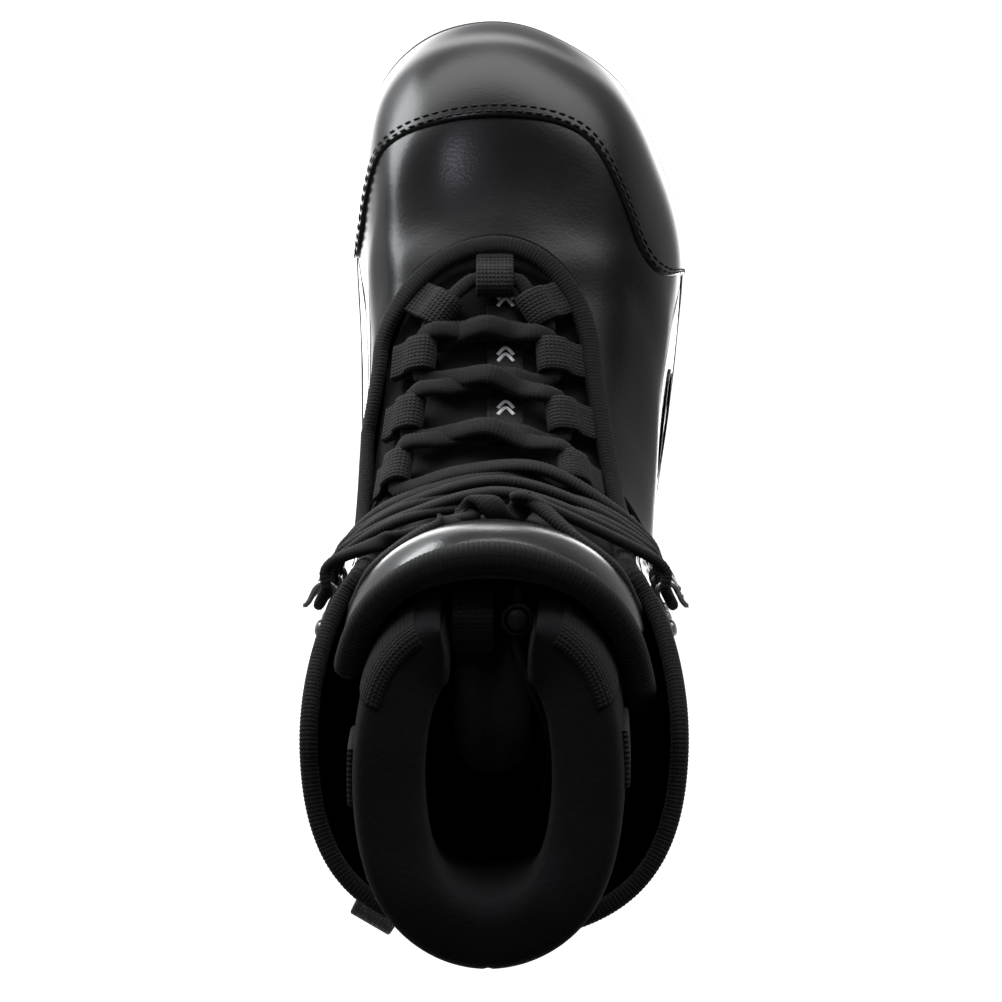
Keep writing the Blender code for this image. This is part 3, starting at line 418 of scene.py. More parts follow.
def add_panel(
    name, form, turns, lows, highs, rows, lift, thickness, finish, rounding=0.9, closed=False
):
    """A curved sheet on a form, from lows to highs at each turn, with soft edges.

    lift is how far its face stands off the form: a number, or a function of points, turns and row shares.
    """
    columns = len(turns)
    half = columns * rows
    shares = edge_shares(rows)
    turn = np.repeat(turns[:, None], rows, axis=1)
    lows, highs = (np.broadcast_to(edge, columns)[:, None] for edge in (lows, highs))
    rise = between(lows, highs, shares)
    base, out = place_on(form, turn, rise), outward(form, turn, rise)
    raised = lift(base, turn, np.broadcast_to(shares, turn.shape)) if callable(lift) else lift
    up_length, side_length = arc_lengths(base, 1), arc_lengths(base, 0)
    edge = np.minimum(up_length, up_length[:, -1:] - up_length)
    if not closed:
        edge = np.minimum(edge, np.minimum(side_length, side_length[-1:] - side_length))
    inwards = np.clip(1 - edge / rounding, 0, 1)
    raised = raised - rounding * (1 - np.sqrt(1 - inwards * inwards))
    outer, inner = base + out * raised[..., None], base + out * (raised - thickness)[..., None]
    faces = [grid_faces(columns, rows, 0, closed), grid_faces(columns, rows, half, closed, flip=True)]
    low = np.arange(columns) * rows
    high = low + rows - 1
    if closed:
        borders = [low, high[::-1]]
    else:
        first, last = np.arange(rows - 2, 0, -1), low[-1] + np.arange(1, rows)
        borders = [np.concatenate([low, last, high[-2::-1], first])]
    for here in borders:
        there = np.roll(here, -1)
        faces.append(np.stack([there, here, here + half, there + half], -1))
    uvs = np.tile(np.stack([side_length, up_length], axis=-1).reshape(-1, 2), (2, 1))
    return add_mesh(name, np.stack([outer, inner]), np.concatenate(faces), finish, uvs)


def resample(points, pitch, *extras):
    """Points a pitch apart on a smooth curve through the given ones, and other values carried along it."""
    points = np.asarray(points, float)
    at = np.arange(0, len(points) - 1 + 1e-9, 1 / 14)
    lengths = arc_lengths(spline(points, at), 0)
    wanted = np.linspace(0, lengths[-1], max(2, round(lengths[-1] / pitch) + 1))
    place = np.interp(wanted, lengths, at)
    carried = []
    for extra in extras:
        columns = np.asarray(extra, float).reshape(len(points), -1).T
        carried.append(np.stack([np.interp(place, np.arange(len(points)), column) for column in columns], -1))
    return [spline(points, place), wanted] + carried


def directions(points):
    ahead = np.concatenate([points[1:], points[-1:]])
    behind = np.concatenate([points[:1], points[:-1]])
    return unit(ahead - behind)


def square_to(along, ups):
    """Up directions, made square to the directions of a line."""
    return unit(ups - along * np.sum(ups * along, axis=-1, keepdims=True))


def tube_faces(levels, count, ends=True):
    """Faces of a tube whose points run round it, ring after ring."""
    level = np.arange(levels - 1)[:, None] * count
    here, there = level + np.arange(count), level + (np.arange(count) + 1) % count
    faces = np.stack([here, there, there + count, here + count], -1).reshape(-1, 4).tolist()
    if ends:
        faces += [list(range(count))[::-1], list(range((levels - 1) * count, levels * count))]
    return faces


def tube_uvs(outline, lengths):
    """Distances round a tube's outline and along it."""
    around = arc_lengths(np.concatenate([outline, outline[:1]]), 0)[:-1]
    return np.stack(np.broadcast_arrays(around[None, :], lengths[:, None]), -1)


def add_sweep(name, points, ups, outline, finish, scale=1.0, widths=1.0, ends=True):
    """Sweeps a closed outline along a line. scale and widths are factors for each point of the line."""
    points = np.asarray(points, float)
    along = directions(points)
    ups = square_to(along, ups)
    sides = np.cross(along, ups)
    scale, widths = (np.broadcast_to(factor, len(points))[:, None, None] for factor in (scale, widths))
    offsets = (sides[:, None] * outline[:, :1] * widths + ups[:, None] * outline[:, 1:]) * scale
    faces = tube_faces(len(points), len(outline), ends)
    uvs = tube_uvs(outline, arc_lengths(points, 0))
    return add_mesh(name, points[:, None] + offsets, faces, finish, uvs)


def oval_outline(width, thickness, count, power=0.75):
    angle = math.tau * (np.arange(count) + 0.5) / count
    across, up = signed_power(np.cos(angle), power), signed_power(np.sin(angle), power)
    return np.stack([across * width / 2, up * thickness / 2], -1)


def strip_outline(path, thickness, pitch=0.5):
    """The outline of a thin strip that follows a smooth path of (across, up) points, with round ends."""
    line = resample(path, pitch)[0]
    along = directions(line) * thickness / 2
    off = np.stack([-along[:, 1], along[:, 0]], -1)
    return np.concatenate([line + off, line[-1:] + along[-1:], (line - off)[::-1], line[:1] - along[:1]])


def add_band(name, here, across, view, outline, half, finish):
    """A bent strip: its outline in a side view, swept over its width with soft edges."""
    side, up = view
    reaches = np.array([-1.0, -0.93, -0.5, 0, 0.5, 0.93, 1.0]) * half
    fullness = (0.55, 1, 1, 1, 1, 1, 0.55)
    middle = (outline + outline[::-1]) / 2
    rings = []
    for reach, share in zip(reaches, fullness):
        shape = between(middle, outline, share)
        rings.append(here + across * reach + side * shape[:, :1] + up * shape[:, 1:])
    faces = tube_faces(len(rings), len(outline))
    return add_mesh(name, np.array(rings), faces, finish, tube_uvs(outline, reaches + half))


def add_stitches(name, points, ups, finish, pitch=3.4, length=2.5, width=0.75):
    """One row of thread stitches lying along a line."""
    line, _, up = resample(points, pitch, ups)
    along = directions(line)
    up = square_to(along, up)
    across = np.cross(along, up)
    sides = 6
    ring = (math.tau * np.arange(sides) / sides)[:, None]
    bands = np.array([-1.0, -0.72, 0.0, 0.72, 1.0])[:, None, None]
    radius = np.sqrt(np.maximum(1 - bands * bands, 0.02)) * width / 2
    line, along, up, across = (vectors[:, None, None] for vectors in (line, along, up, across))
    body = line + along * bands * length / 2 + (across * np.cos(ring) + up * np.sin(ring) * 0.8) * radius
    one = np.array(tube_faces(len(bands), sides, ends=False))
    ends = np.array(tube_faces(len(bands), sides)[-2:])
    faces = []
    for start in np.arange(len(line)) * len(bands) * sides:
        faces += (one + start).tolist() + (ends + start).tolist()
    return add_mesh(name, body, faces, finish)


def add_stack(name, rings, finish):
    """A solid through a stack of closed rings, with its ends closed by rungs from side to side."""
    rings = np.asarray(rings, float)
    levels, count = rings.shape[:2]
    faces = grid_faces(count, levels, wrap=True).tolist()
    for level in (0, levels - 1):
        at = [column * levels + level for column in range(count)]
        faces += [[at[0], at[1], at[-1]], at[count // 2 - 1:count // 2 + 2]]
        faces += [[at[i], at[i + 1], at[-i - 1], at[-i]] for i in range(1, count // 2 - 1)]
    uvs = tube_uvs(rings[0], arc_lengths(rings[:, 0], 0))
    return face_outwards(add_mesh(name, rings.swapaxes(0, 1), faces, finish, uvs.swapaxes(0, 1)))


def face_outwards(piece, weld=False):
    """Turns all faces outwards, once points in one place are merged if asked."""
    work = bmesh.new()
    work.from_mesh(piece.data)
    if weld:
        bmesh.ops.remove_doubles(work, verts=work.verts, dist=1e-6)
    bmesh.ops.recalc_face_normals(work, faces=work.faces)
    work.to_mesh(piece.data)
    work.free()
    return piece


def add_spun(name, profile, centre, axis, finish, sides=40):
    """A solid of revolution about an axis, from (radius, height) pairs with rounded-off corners."""
    axis = unit(np.asarray(axis, float))
    guess = np.array([1.0, 0, 0]) if abs(axis[0]) < 0.9 else np.array([0, 1.0, 0])
    first = unit(np.cross(axis, guess))
    angle = (math.tau * np.arange(sides) / sides)[:, None]
    radial = np.cos(angle) * first + np.sin(angle) * np.cross(axis, first)
    points = np.stack([centre + radial * radius + axis * height for radius, height in profile], 1)
    made = add_mesh(name, points, grid_faces(sides, len(profile), wrap=True), finish)
    return face_outwards(made, weld=True)


def settle(piece, body, *nodes):
    """Puts a piece on a body, in place of the nodes that it stands for."""
    if nodes:
        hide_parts(*nodes)
    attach(piece, body)


# ---------------------------------------------------------------- materials


def add_node(tree, kind, **settings):
    """A shader node. Settings are its properties, or its inputs by name with underscores for spaces.

    An input is set to a value or linked to an output of another node.
    """
    node = tree.nodes.new(kind)
    for name, value in settings.items():
        if hasattr(node, name):
            setattr(node, name, value)
        elif isinstance(value, bpy.types.NodeSocket):
            tree.links.new(value, node.inputs[name.replace("_", " ")])
        else:
            node.inputs[name.replace("_", " ")].default_value = value
    return node


def combine(tree, operation, *values):
    """The output of a maths node whose inputs are values or outputs of other nodes."""
    node = add_node(tree, "ShaderNodeMath", operation=operation)
    for socket, value in zip(node.inputs, values):
        if isinstance(value, float):
            socket.default_value = value
        else:
            tree.links.new(value, socket)
    return node.outputs["Value"]


def noise_at(tree, place, scale, detail, roughness=0.5):
    return add_node(
        tree, "ShaderNodeTexNoise", Vector=place, Scale=scale, Detail=detail, Roughness=roughness
    ).outputs["Fac"]


def finish_of(name, dark, light, blotch, roughness, specular=0.5, sheen=0.0, metallic=0.0):
    """A finish of uneven colour between two shades.

    Gives the material, its node tree, shader and texture coordinates, and the noise behind the colour.
    """
    made = bpy.data.materials.new(name)
    made.use_nodes = True
    tree = made.node_tree
    shader = tree.nodes["Principled BSDF"]
    shader.inputs["Roughness"].default_value = roughness
    shader.inputs["Metallic"].default_value = metallic
    shader.inputs["Specular IOR Level"].default_value = specular
    shader.inputs["Sheen Weight"].default_value = sheen
    place = add_node(tree, "ShaderNodeTexCoord").outputs
    noise = noise_at(tree, place["Object"], blotch, 5.0, 0.6)
    ramp = add_node(tree, "ShaderNodeValToRGB", Fac=noise)
    for element, position, shade in zip(ramp.color_ramp.elements, (0.35, 0.7), (dark, light)):
        element.position = position
        element.color = (*shade, 1)
    tree.links.new(ramp.outputs["Color"], shader.inputs["Base Color"])
    return made, tree, shader, place, noise


def bump_from(tree, shader, height, distance, strength=1.0):
    bump = add_node(tree, "ShaderNodeBump", Height=height, Strength=strength, Distance=distance)
    tree.links.new(bump.outputs["Normal"], shader.inputs["Normal"])


def uneven_gloss(tree, shader, noise, least, most):
    gloss = add_node(tree, "ShaderNodeMapRange", Value=noise, To_Min=least, To_Max=most)
    tree.links.new(gloss.outputs["Result"], shader.inputs["Roughness"])


def bands(tree, place, axis, pitch):
    """A wave across a millimetre UV axis whose period is the pitch."""
    return add_node(
        tree, "ShaderNodeTexWave", Vector=place["UV"], bands_direction=axis, Scale=math.tau / 20 / pitch
    ).outputs["Fac"]


def leather(name, dark, light, roughness, grain=0.00004):
    """Smooth coated leather with a faint pebble grain and slightly uneven gloss."""
    made, tree, shader, place, noise = finish_of(name, dark, light, 26.0, roughness, specular=0.35)
    uneven_gloss(tree, shader, noise, roughness * 0.8, roughness * 1.25)
    pebble = add_node(tree, "ShaderNodeTexVoronoi", Vector=place["Object"], Scale=820.0).outputs["Distance"]
    soft = noise_at(tree, place["Object"], 90.0, 3.0)
    bump_from(tree, shader, combine(tree, "ADD", pebble, soft), grain, 0.7)
    return made


def textile(name, dark, light, across, along, depth, roughness=0.85, specular=0.25):
    """Cloth whose threads run along both UV axes with the given pitches in millimetres."""
    made, tree, shader, place, _ = finish_of(name, dark, light, 60.0, roughness, specular, sheen=0.05)
    threads = combine(tree, "MULTIPLY", bands(tree, place, "X", across), bands(tree, place, "Y", along))
    fuzz = combine(tree, "MULTIPLY", noise_at(tree, place["UV"], 2.2, 4.0), 0.6)
    bump_from(tree, shader, combine(tree, "ADD", threads, fuzz), depth)
    return made


def fleece(name, dark, light):
    """Soft brushed cloth without a visible weave."""
    made, tree, shader, place, _ = finish_of(name, dark, light, 80.0, 0.95, 0.15, sheen=0.03)
    bump_from(tree, shader, noise_at(tree, place["Object"], 700.0, 5.0, 0.7), 0.0004)
    return made


def moulded(name, dark, light, roughness, grain=0.00005, specular=0.5):
    """Rubber or plastic with a fine moulded texture."""
    made, tree, shader, place, _ = finish_of(name, dark, light, 35.0, roughness, specular)
    bump_from(tree, shader, noise_at(tree, place["Object"], 1400.0, 2.0), grain, 0.6)
    return made


def bare_metal(name, dark, light, roughness):
    """Brushed and slightly worn steel."""
    made, tree, shader, place, noise = finish_of(name, dark, light, 300.0, roughness, metallic=1.0)
    uneven_gloss(tree, shader, noise, roughness * 0.7, roughness * 1.5)
    bump_from(tree, shader, bands(tree, place, "Y", 0.22), 0.00001, 0.4)
    return made


LEATHER_FINISH = leather("gloss_leather", (0.0022, 0.0022, 0.0026), (0.0045, 0.0042, 0.005), 0.24, 0.000025)
SHIELD_FINISH = leather("shield_leather", (0.003, 0.003, 0.003), (0.006, 0.006, 0.006), 0.2)
ROLL_FINISH = textile("roll_knit", (0.0022, 0.0022, 0.0022), (0.0046, 0.0044, 0.0043), 0.9, 0.9, 0.00012)
WEBBING_FINISH = textile("webbing", (0.003, 0.003, 0.003), (0.0065, 0.0062, 0.006), 1.5, 1.3, 0.0004, 0.75)
TONGUE_FINISH = textile(
    "woven_nylon", (0.0022, 0.0020, 0.0024), (0.0042, 0.0038, 0.0044), 0.55, 0.55, 0.00012, 0.8
)
LABEL_FINISH = textile(
    "label_satin", (0.003, 0.003, 0.0032), (0.0055, 0.0055, 0.0058), 0.35, 0.7, 0.00006, 0.6
)
LACE_FINISH = textile("lace_cord", (0.0045, 0.0036, 0.0032), (0.0095, 0.0078, 0.007), 0.7, 0.6, 0.0001)
LINER_FINISH = fleece("liner_fleece", (0.0014, 0.0016, 0.0022), (0.0032, 0.0036, 0.0046))
KNIT_FINISH = textile(
    "liner_knit", (0.0014, 0.0015, 0.002), (0.0036, 0.0038, 0.0046), 1.5, 1.5, 0.0005, specular=0.12
)
PAD_FINISH = fleece("tongue_fleece", (0.006, 0.006, 0.0075), (0.012, 0.012, 0.014))
MIDSOLE_FINISH = moulded("sole_foam", (0.006, 0.006, 0.0065), (0.011, 0.011, 0.012), 0.45, specular=0.25)
OUTSOLE_FINISH = moulded("tread_rubber", (0.007, 0.007, 0.007), (0.014, 0.014, 0.014), 0.6)
PLASTIC_FINISH = moulded("dark_plastic", (0.004, 0.004, 0.0042), (0.008, 0.008, 0.0085), 0.45, specular=0.2)
BOARD_FINISH = moulded("board_fibre", (0.2, 0.16, 0.11), (0.34, 0.29, 0.22), 0.9, 0.0001)
FOAM_FINISH = textile("footbed_cloth", (0.01, 0.01, 0.012), (0.02, 0.02, 0.024), 0.6, 0.6, 0.0001)
STEEL_FINISH = bare_metal("hook_steel", (0.3, 0.3, 0.31), (0.62, 0.62, 0.64), 0.28)
THREAD_FINISH = textile("thread", (0.006, 0.0058, 0.0055), (0.014, 0.013, 0.012), 0.4, 0.4, 0.00004, 0.6)
MARK_FINISH = textile("white_thread", (0.85, 0.85, 0.85), (0.95, 0.95, 0.95), 0.3, 0.3, 0.00003, 0.7)


# ---------------------------------------------------------------- sole

RING_TURNS = np.linspace(0, math.tau, 241)[:-1]


def sole_ring(height, inset):
    """A ring round the sole, drawn in by inset from the outline and bent up at the toe."""
    y = (SOLE_HALF_LENGTH - inset) * np.cos(RING_TURNS)
    return np.stack([foot_x(RING_TURNS) * (1 - inset / 55), y, height + toe_lift(y)], -1)


def make_midsole():
    rings = [sole_ring(height, inset) for height, inset in WALL_PROFILE]
    foot_y = place_on(SHELL, RING_TURNS, 0)[:, 1]
    for height, gap in ((CUP_WALL_TOP, 0.9), (CUP_WALL_TOP - 0.5, 0.4), (31.0, 0.3), (MIDSOLE_TOP, 0.3)):
        rise = np.maximum(rise_at_height(SHELL, RING_TURNS, height + toe_lift(foot_y)), 0)
        ring = proud(SHELL, RING_TURNS, rise, gap)
        if height == MIDSOLE_TOP:
            ring[:, 2] = height + toe_lift(ring[:, 1])
        rings.append(ring)
    settle(add_stack("sole_wall", rings, MIDSOLE_FINISH), "lower", "midsole")
    seam = sole_ring(CUP_WALL_TOP + 0.1, 1.7)
    seam = np.concatenate([seam, seam[:1]])
    up = np.tile([0.0, 0.0, 1.0], (len(seam), 1))
    settle(add_stitches("sole_stitches", seam, up, THREAD_FINISH, 4.4, 3.2, 0.8), "lower")


def make_outsole():
    """Cross-sections from heel to toe, so that the grooves of the tread stay crisp."""
    middles = [side * (GROOVE_PITCH / 2 + GROOVE_PITCH * step) for side in (-1, 1) for step in range(6)]
    edges = [middle + reach for middle in middles for reach in (-3.0, -2.4, 0, 2.4, 3.0)]
    half_length = SOLE_HALF_LENGTH - 0.8
    places = np.array(sorted(set(edges) | set(np.linspace(-half_length + 0.4, half_length - 0.4, 80))))
    turn = np.arccos(places / half_length)
    right, left = foot_x(turn), foot_x(math.tau - turn)
    middle, half = (right + left) / 2, (right - left) / 2
    nearest = np.min(np.abs(places[:, None] - np.array(middles)[None, :]), axis=1)
    groove = GROOVE_DEPTH * (1 - smooth((nearest - GROOVE_WIDTH / 2 + 0.4) / 0.8))
    across = np.linspace(-1, 1, 40)
    channel = 2.2 * (1 - smooth((np.abs(np.abs(across) - 0.72) - 0.03) / 0.03))
    rings = []
    for y, centre, wide, cut in zip(places, middle, half, groove):
        bevel = min(2.2, wide * 0.4)
        bottom = np.stack([centre + across * (wide - bevel), np.maximum(cut, channel)], -1)
        side = [(wide - 0.5, 2.0), (wide - 0.3, 5.0), (wide, OUTSOLE_TOP)]
        walls = [(centre + out, height) for out, height in side]
        walls += [(centre - out, height) for out, height in reversed(side)]
        section = np.concatenate([bottom, walls])
        rings.append(np.stack([section[:, 0], np.full(len(section), y), section[:, 1] + toe_lift(y)], -1))
    settle(add_stack("tread", rings, OUTSOLE_FINISH), "lower", "outsole")


# ---------------------------------------------------------------- lower shell


def edge_stitches(name, form, turns, rises, lift, body):
    points, ups = proud(form, turns, rises, lift), outward(form, turns, rises)
    settle(add_stitches(name, points, ups, THREAD_FINISH), body)


def worn(amount, size, seed, lift=0.0):
    """Face height of soft leather: slow waves over a base lift."""
    return lambda points, turn, share: lift + amount * ripple(points, size, seed)


def add_leather(name, body, nodes, turns, lows, highs, rows, lift, thickness, rounding=0.9):
    """A leather panel of the shell or the cuff."""
    panel = add_panel(
        name, SHELL, turns, lows, highs, rows, lift, thickness, LEATHER_FINISH, rounding
    )
    settle(panel, body, *nodes)


def creased(points, turn, share):
    """Face height of the upper: slow waves, with soft creases where the forefoot bends."""
    bend = np.exp(-((points[..., 1] - 62 - 0.12 * np.abs(points[..., 0])) / 16) ** 2)
    folds = np.sin((points[..., 1] + 6 * ripple(points, 50, 5)) / 4.6) * bend
    return 0.5 * ripple(points, 46, 11) + 0.22 * folds - 0.15


def make_upper():
    turns = np.linspace(-UPPER_TURN, UPPER_TURN, 311)
    lows = np.maximum(toe_seam_rise(SHELL, turns) - 0.14, 0)
    ankle = lower_top(SHELL, turns)
    highs = np.where(np.abs(turns) < THROAT_REACH, np.minimum(throat_rise(SHELL, turns), ankle), ankle)
    nodes = ("vamp", "quarter_lateral", "quarter_medial")
    add_leather("upper_leather", "lower", nodes, turns, lows, highs, 90, creased, LEATHER)


def make_toe_cap():
    turns = np.linspace(-TOE_CAP_TURN, TOE_CAP_TURN, 181)
    highs = np.maximum(toe_seam_rise(SHELL, turns), 0.35)
    face = worn(0.3, 60, 21, 1.0)
    add_leather("toe_cap_leather", "lower", ("toe_cap",), turns, 0, highs, 70, face, 1.9, 1.3)
    inside = np.abs(turns) < TOE_CAP_TURN - math.radians(3)
    for number, back in enumerate(CAP_SEAM_SETBACKS, start=1):
        rises = highs[inside] - back / RISE_LENGTH_AT_TOE
        edge_stitches(f"toe_cap_stitches_{number}", SHELL, turns[inside], rises, 1.25, "lower")


def make_heel():
    turns = np.linspace(HEEL_TURN, math.tau - HEEL_TURN, 121)
    highs = lower_top(SHELL, turns)
    add_leather("heel_leather", "lower", ("heel_cap",), turns, 0, highs, 60, worn(0.25, 50, 31, 0.9), 1.8)
    rises = np.linspace(0.9, 3.9, 60)
    for word, turn, way in (("lateral", HEEL_TURN, 1), ("medial", math.tau - HEEL_TURN, -1)):
        for number, reach in ((1, 0.05), (2, 0.1)):
            name = f"heel_stitches_{word}_{number}"
            edge_stitches(name, SHELL, np.full(60, turn + way * reach), rises, 1.15, "lower")


def make_side_oval():
    """A plain raised oval on the outer side."""
    angle = np.linspace(0, math.tau, 61)
    turn, rise = math.radians(80) + 0.13 * np.cos(angle), 2.75 + 0.42 * np.sin(angle)
    path, ups = proud(SHELL, turn, rise, 0.25), outward(SHELL, turn, rise)
    outline = oval_outline(1.5, 1.0, 10)
    settle(add_sweep("side_oval", path, ups, outline, LEATHER_FINISH, ends=False), "lower")


def pleats(points, turn, share):
    """Face height of the ankle's soft leather: three folds in the gap, and tucked under both edges."""
    inside = smooth(share * 5) * smooth((1 - share) * 5)
    return -1.7 + inside * (1.3 + 0.3 * np.sin(share * math.tau * 3))


def make_ankle_leather():
    parts = ("lateral", 47, 118, 60), ("back", 118, 242, 90), ("medial", 242, 313, 60)
    for word, first, last, count in parts:
        turns = np.linspace(math.radians(first), math.radians(last), count)
        lows, highs = lower_top(SHELL, turns) - 0.16, cuff_bottom(SHELL, turns) + 0.16
        gusset = add_panel(
            f"ankle_pleats_{word}", SHELL, turns, lows, highs, 40, pleats, 0.9, LEATHER_FINISH
        )
        if word == "back":
            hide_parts("ankle_lining")
            across_ankle(gusset)
        else:
            across_ankle(gusset)


def across_ankle(piece):
    """Bakes the placement of a piece that lies across the ankle into its mesh."""
    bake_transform(piece)


# ---------------------------------------------------------------- padded rolls


def add_roll(name, form, turns, rises, depth, width, thickness, node, body, rib=1.25, swell=0.6):
    """A padded roll of ribbed knit beside an edge, on the edge's left seen from outside."""
    edge, ups = place_on(form, turns, rises), outward(form, turns, rises)
    aside = unit(np.cross(directions(edge), ups))
    points = edge + aside * (width / 2 + BINDING_GAP - 0.9) - ups * depth
    line, length, up = resample(points, rib / 5, ups)
    rounded = rounded_off(np.minimum(length, length[-1] - length) / (width / 2), 0.02)
    ribs = rounded * (1 + 0.028 * np.cos(length * math.tau / rib) + 0.02 * ripple(line, 24, 7))
    outline = oval_outline(width + swell, thickness + swell, 20, 0.85)
    roll = add_sweep(name, line, up, outline, ROLL_FINISH, ribs)
    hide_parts(node)
    if body:
        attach(roll, body)
    return roll


def make_throat_roll():
    turns = np.linspace(-math.radians(75), math.radians(75), 241)
    rises = throat_rise(SHELL, turns)
    kept = rises < lower_top(SHELL, turns)
    turns, rises = turns[kept], rises[kept]
    # Past the ankle line the roll climbs to the front corners of the cuff and ends behind them.
    climb = np.linspace(0, 1, 30)[1:]
    corner = FLAP_TURN + math.radians(4)
    ends = []
    for side, turn, rise in ((-1, turns[0], rises[0]), (1, turns[-1], rises[-1])):
        top = float(cuff_bottom(SHELL, side * corner)) + 0.35
        ends.append((between(turn, side * corner, climb ** 1.5), between(rise, top, climb)))
    turns = np.concatenate([ends[0][0][::-1], turns, ends[1][0]])
    rises = np.concatenate([ends[0][1][::-1], rises, ends[1][1]])
    size = BINDING_WIDTH, BINDING_THICKNESS
    roll = add_roll("throat_roll", SHELL, turns, rises, -1.0, *size, "throat_binding", None, swell=0)
    across_ankle(roll)


# ---------------------------------------------------------------- lace loops


def throat_spot(side, y, inset):
    """Turn and rise of the point inset from the throat edge, at a given y on one side."""
    low, high = 0.0, math.radians(85)
    for _ in range(30):
        middle = (low + high) / 2
        rise = float(throat_rise(SHELL, side * middle, inset))
        if place_on(SHELL, side * middle, rise)[1] > y:
            low = middle
        else:
            high = middle
    return side * low, float(throat_rise(SHELL, side * low, inset))


def throat_frame(side, y):
    """Where a lace loop leaves the throat roll, with its directions inwards, along the edge and outwards."""
    inset = BINDING_WIDTH + 1.3
    here = place_on(SHELL, *throat_spot(side, y, inset))
    ahead = place_on(SHELL, *throat_spot(side, y + 3, inset))
    out = outward(SHELL, *throat_spot(side, y, inset))
    along = unit(ahead - here)
    return here, unit(np.cross(out, along) * side), along, out


def centre_frame():
    rise = float(throat_rise(SHELL, 0.0, BINDING_WIDTH + 1.3))
    out = outward(SHELL, 0.0, rise)
    along = np.array([1.0, 0, 0])
    return place_on(SHELL, 0.0, rise), np.cross(along, out), along, out


def add_loop(name, loop_frame, node):
    """A folded strip of webbing whose inner end goes round the lace."""
    here, inwards, along, out = loop_frame
    outline = strip_outline(((-2.5, 1.2),) + LOOP_FOLD + ((-2.5, -0.3),), 1.3)
    half = LOOP_WIDTH / 2 + 1.2
    loop = add_band(name, here, along, (inwards, out), outline, half, WEBBING_FINISH)
    settle(loop, "lower", node)


def make_lace_loops():
    add_loop("webbing_loop_centre", centre_frame(), "lace_loop_centre")
    for side, word in ((-1, "medial"), (1, "lateral")):
        for number, y in enumerate(LOOP_Y, start=1):
            add_loop(f"webbing_loop_{word}_{number}", throat_frame(side, y), f"lace_loop_{word}_{number}")


# ---------------------------------------------------------------- tongue


def tongue_top(turn):
    share = turn / TONGUE_TURN
    return rise_at_height(TONGUE, turn, TONGUE_TOP - TONGUE_ARCH * share * share)


def tongue_peak(turn):
    """How much further the middle of the tongue's top stands forward than its sides."""
    return 3.6 * np.exp(-(turn / math.radians(30)) ** 2) - 0.6


def tucked(points, turn, share):
    """Face height of the tongue: slightly uneven, and sunk under the throat roll at its lower edge."""
    reach = arc_lengths(points, 1)
    return 0.35 * ripple(points, 30, 13) - 2.6 * (1 - smooth((reach - 2) / 7))


def puffed(points, turn, share):
    """Face height of the padded band: it swells below the roll and flattens at both ends."""
    swell = (4.8 + tongue_peak(turn)) * (1 - 0.7 * np.abs(turn / TONGUE_TURN) ** 4)
    return 1.3 + swell * np.sin(math.pi * np.clip(share, 0, 1) ** 0.8) ** 0.7


def make_tongue():
    turns = np.linspace(-TONGUE_TURN, TONGUE_TURN, 171)
    lows = np.minimum(throat_rise(TONGUE, turns, 3.0), cuff_bottom(TONGUE, turns) - 0.2)
    highs = tongue_top(turns)
    tongue = add_panel(
        "tongue_cloth", TONGUE, turns, lows, highs, 170, tucked, 3.4, TONGUE_FINISH, 1.6
    )
    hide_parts("tongue_lower", "tongue_upper")
    across_ankle(tongue)

    edge = TONGUE_TURN - math.radians(7)
    turns = np.linspace(-edge, edge, 121)
    highs = tongue_top(turns) - 0.01
    lows = highs - 0.95 * (1 - 0.45 * (np.abs(turns) / edge) ** 3)
    shield = add_panel(
        "tongue_shield_leather", TONGUE, turns, lows, highs, 40, puffed, 1.1, SHIELD_FINISH
    )
    settle(shield, "cuff", "tongue_shield")
    edge_stitches("shield_stitches", TONGUE, turns[4:-4], lows[4:-4] + 0.06, 1.45, "cuff")

    # The roll follows the top edge and runs on inside the cuff on the outer side.
    further = math.radians(26)
    turns = np.linspace(-TONGUE_TURN, TONGUE_TURN + further, 151)
    rises = tongue_top(np.minimum(turns, TONGUE_TURN)) - 1.6 * np.clip((turns - TONGUE_TURN) / further, 0, 1)
    depth = (TONGUE_THICKNESS / 2 - 1.7 - tongue_peak(turns))[:, None]
    add_roll("tongue_roll", TONGUE, turns, rises, depth, *TONGUE_ROLL_SIZE, "tongue_binding", "cuff", 1.35)


def make_label():
    first, last = LABEL_TURNS
    turns = np.linspace(first, last, 21)
    lows = throat_rise(TONGUE, turns, BINDING_WIDTH + 16.6)
    highs = lower_top(TONGUE, turns) - 0.05
    label = add_panel("label_strip", TONGUE, turns, lows, highs, 90, 1.0, 1.3, LABEL_FINISH, 0.4)
    settle(label, "lower", "tongue_label")
    rises = np.linspace(lows.max() + 0.03, highs.min() - 0.03, 60)
    for word, turn in (("medial", first + 0.018), ("lateral", last - 0.018)):
        points, ups = proud(TONGUE, turn, rises, 1.15), outward(TONGUE, turn, rises)
        name = f"label_stitches_{word}"
        settle(add_stitches(name, points, ups, THREAD_FINISH, 2.6, 1.8, 0.6), "lower")
    # Plain woven chevrons
    middle = (first + last) / 2
    for number, y in enumerate(LABEL_MARK_Y, start=1):
        rise = float(rise_where(TONGUE, middle, lambda p: p[..., 1] > y, 3.2, 6.5))
        here, out = proud(TONGUE, middle, rise, 1.15), outward(TONGUE, middle, rise)
        side = np.array([1.0, 0, 0])
        up = unit(np.cross(out, side))
        for part, shift in enumerate((0.0, 2.6)):
            corners = np.array([(-2.6, -1.6), (0, 1.2), (2.6, -1.6)]) + (0, shift - 1.3)
            line = resample([here + side * a + up * b for a, b in corners], 0.4)[0]
            name = f"label_mark_{number}_{part}"
            settle(add_sweep(name, line, out, oval_outline(1.2, 0.35, 8), MARK_FINISH), "lower")


# ---------------------------------------------------------------- cuff


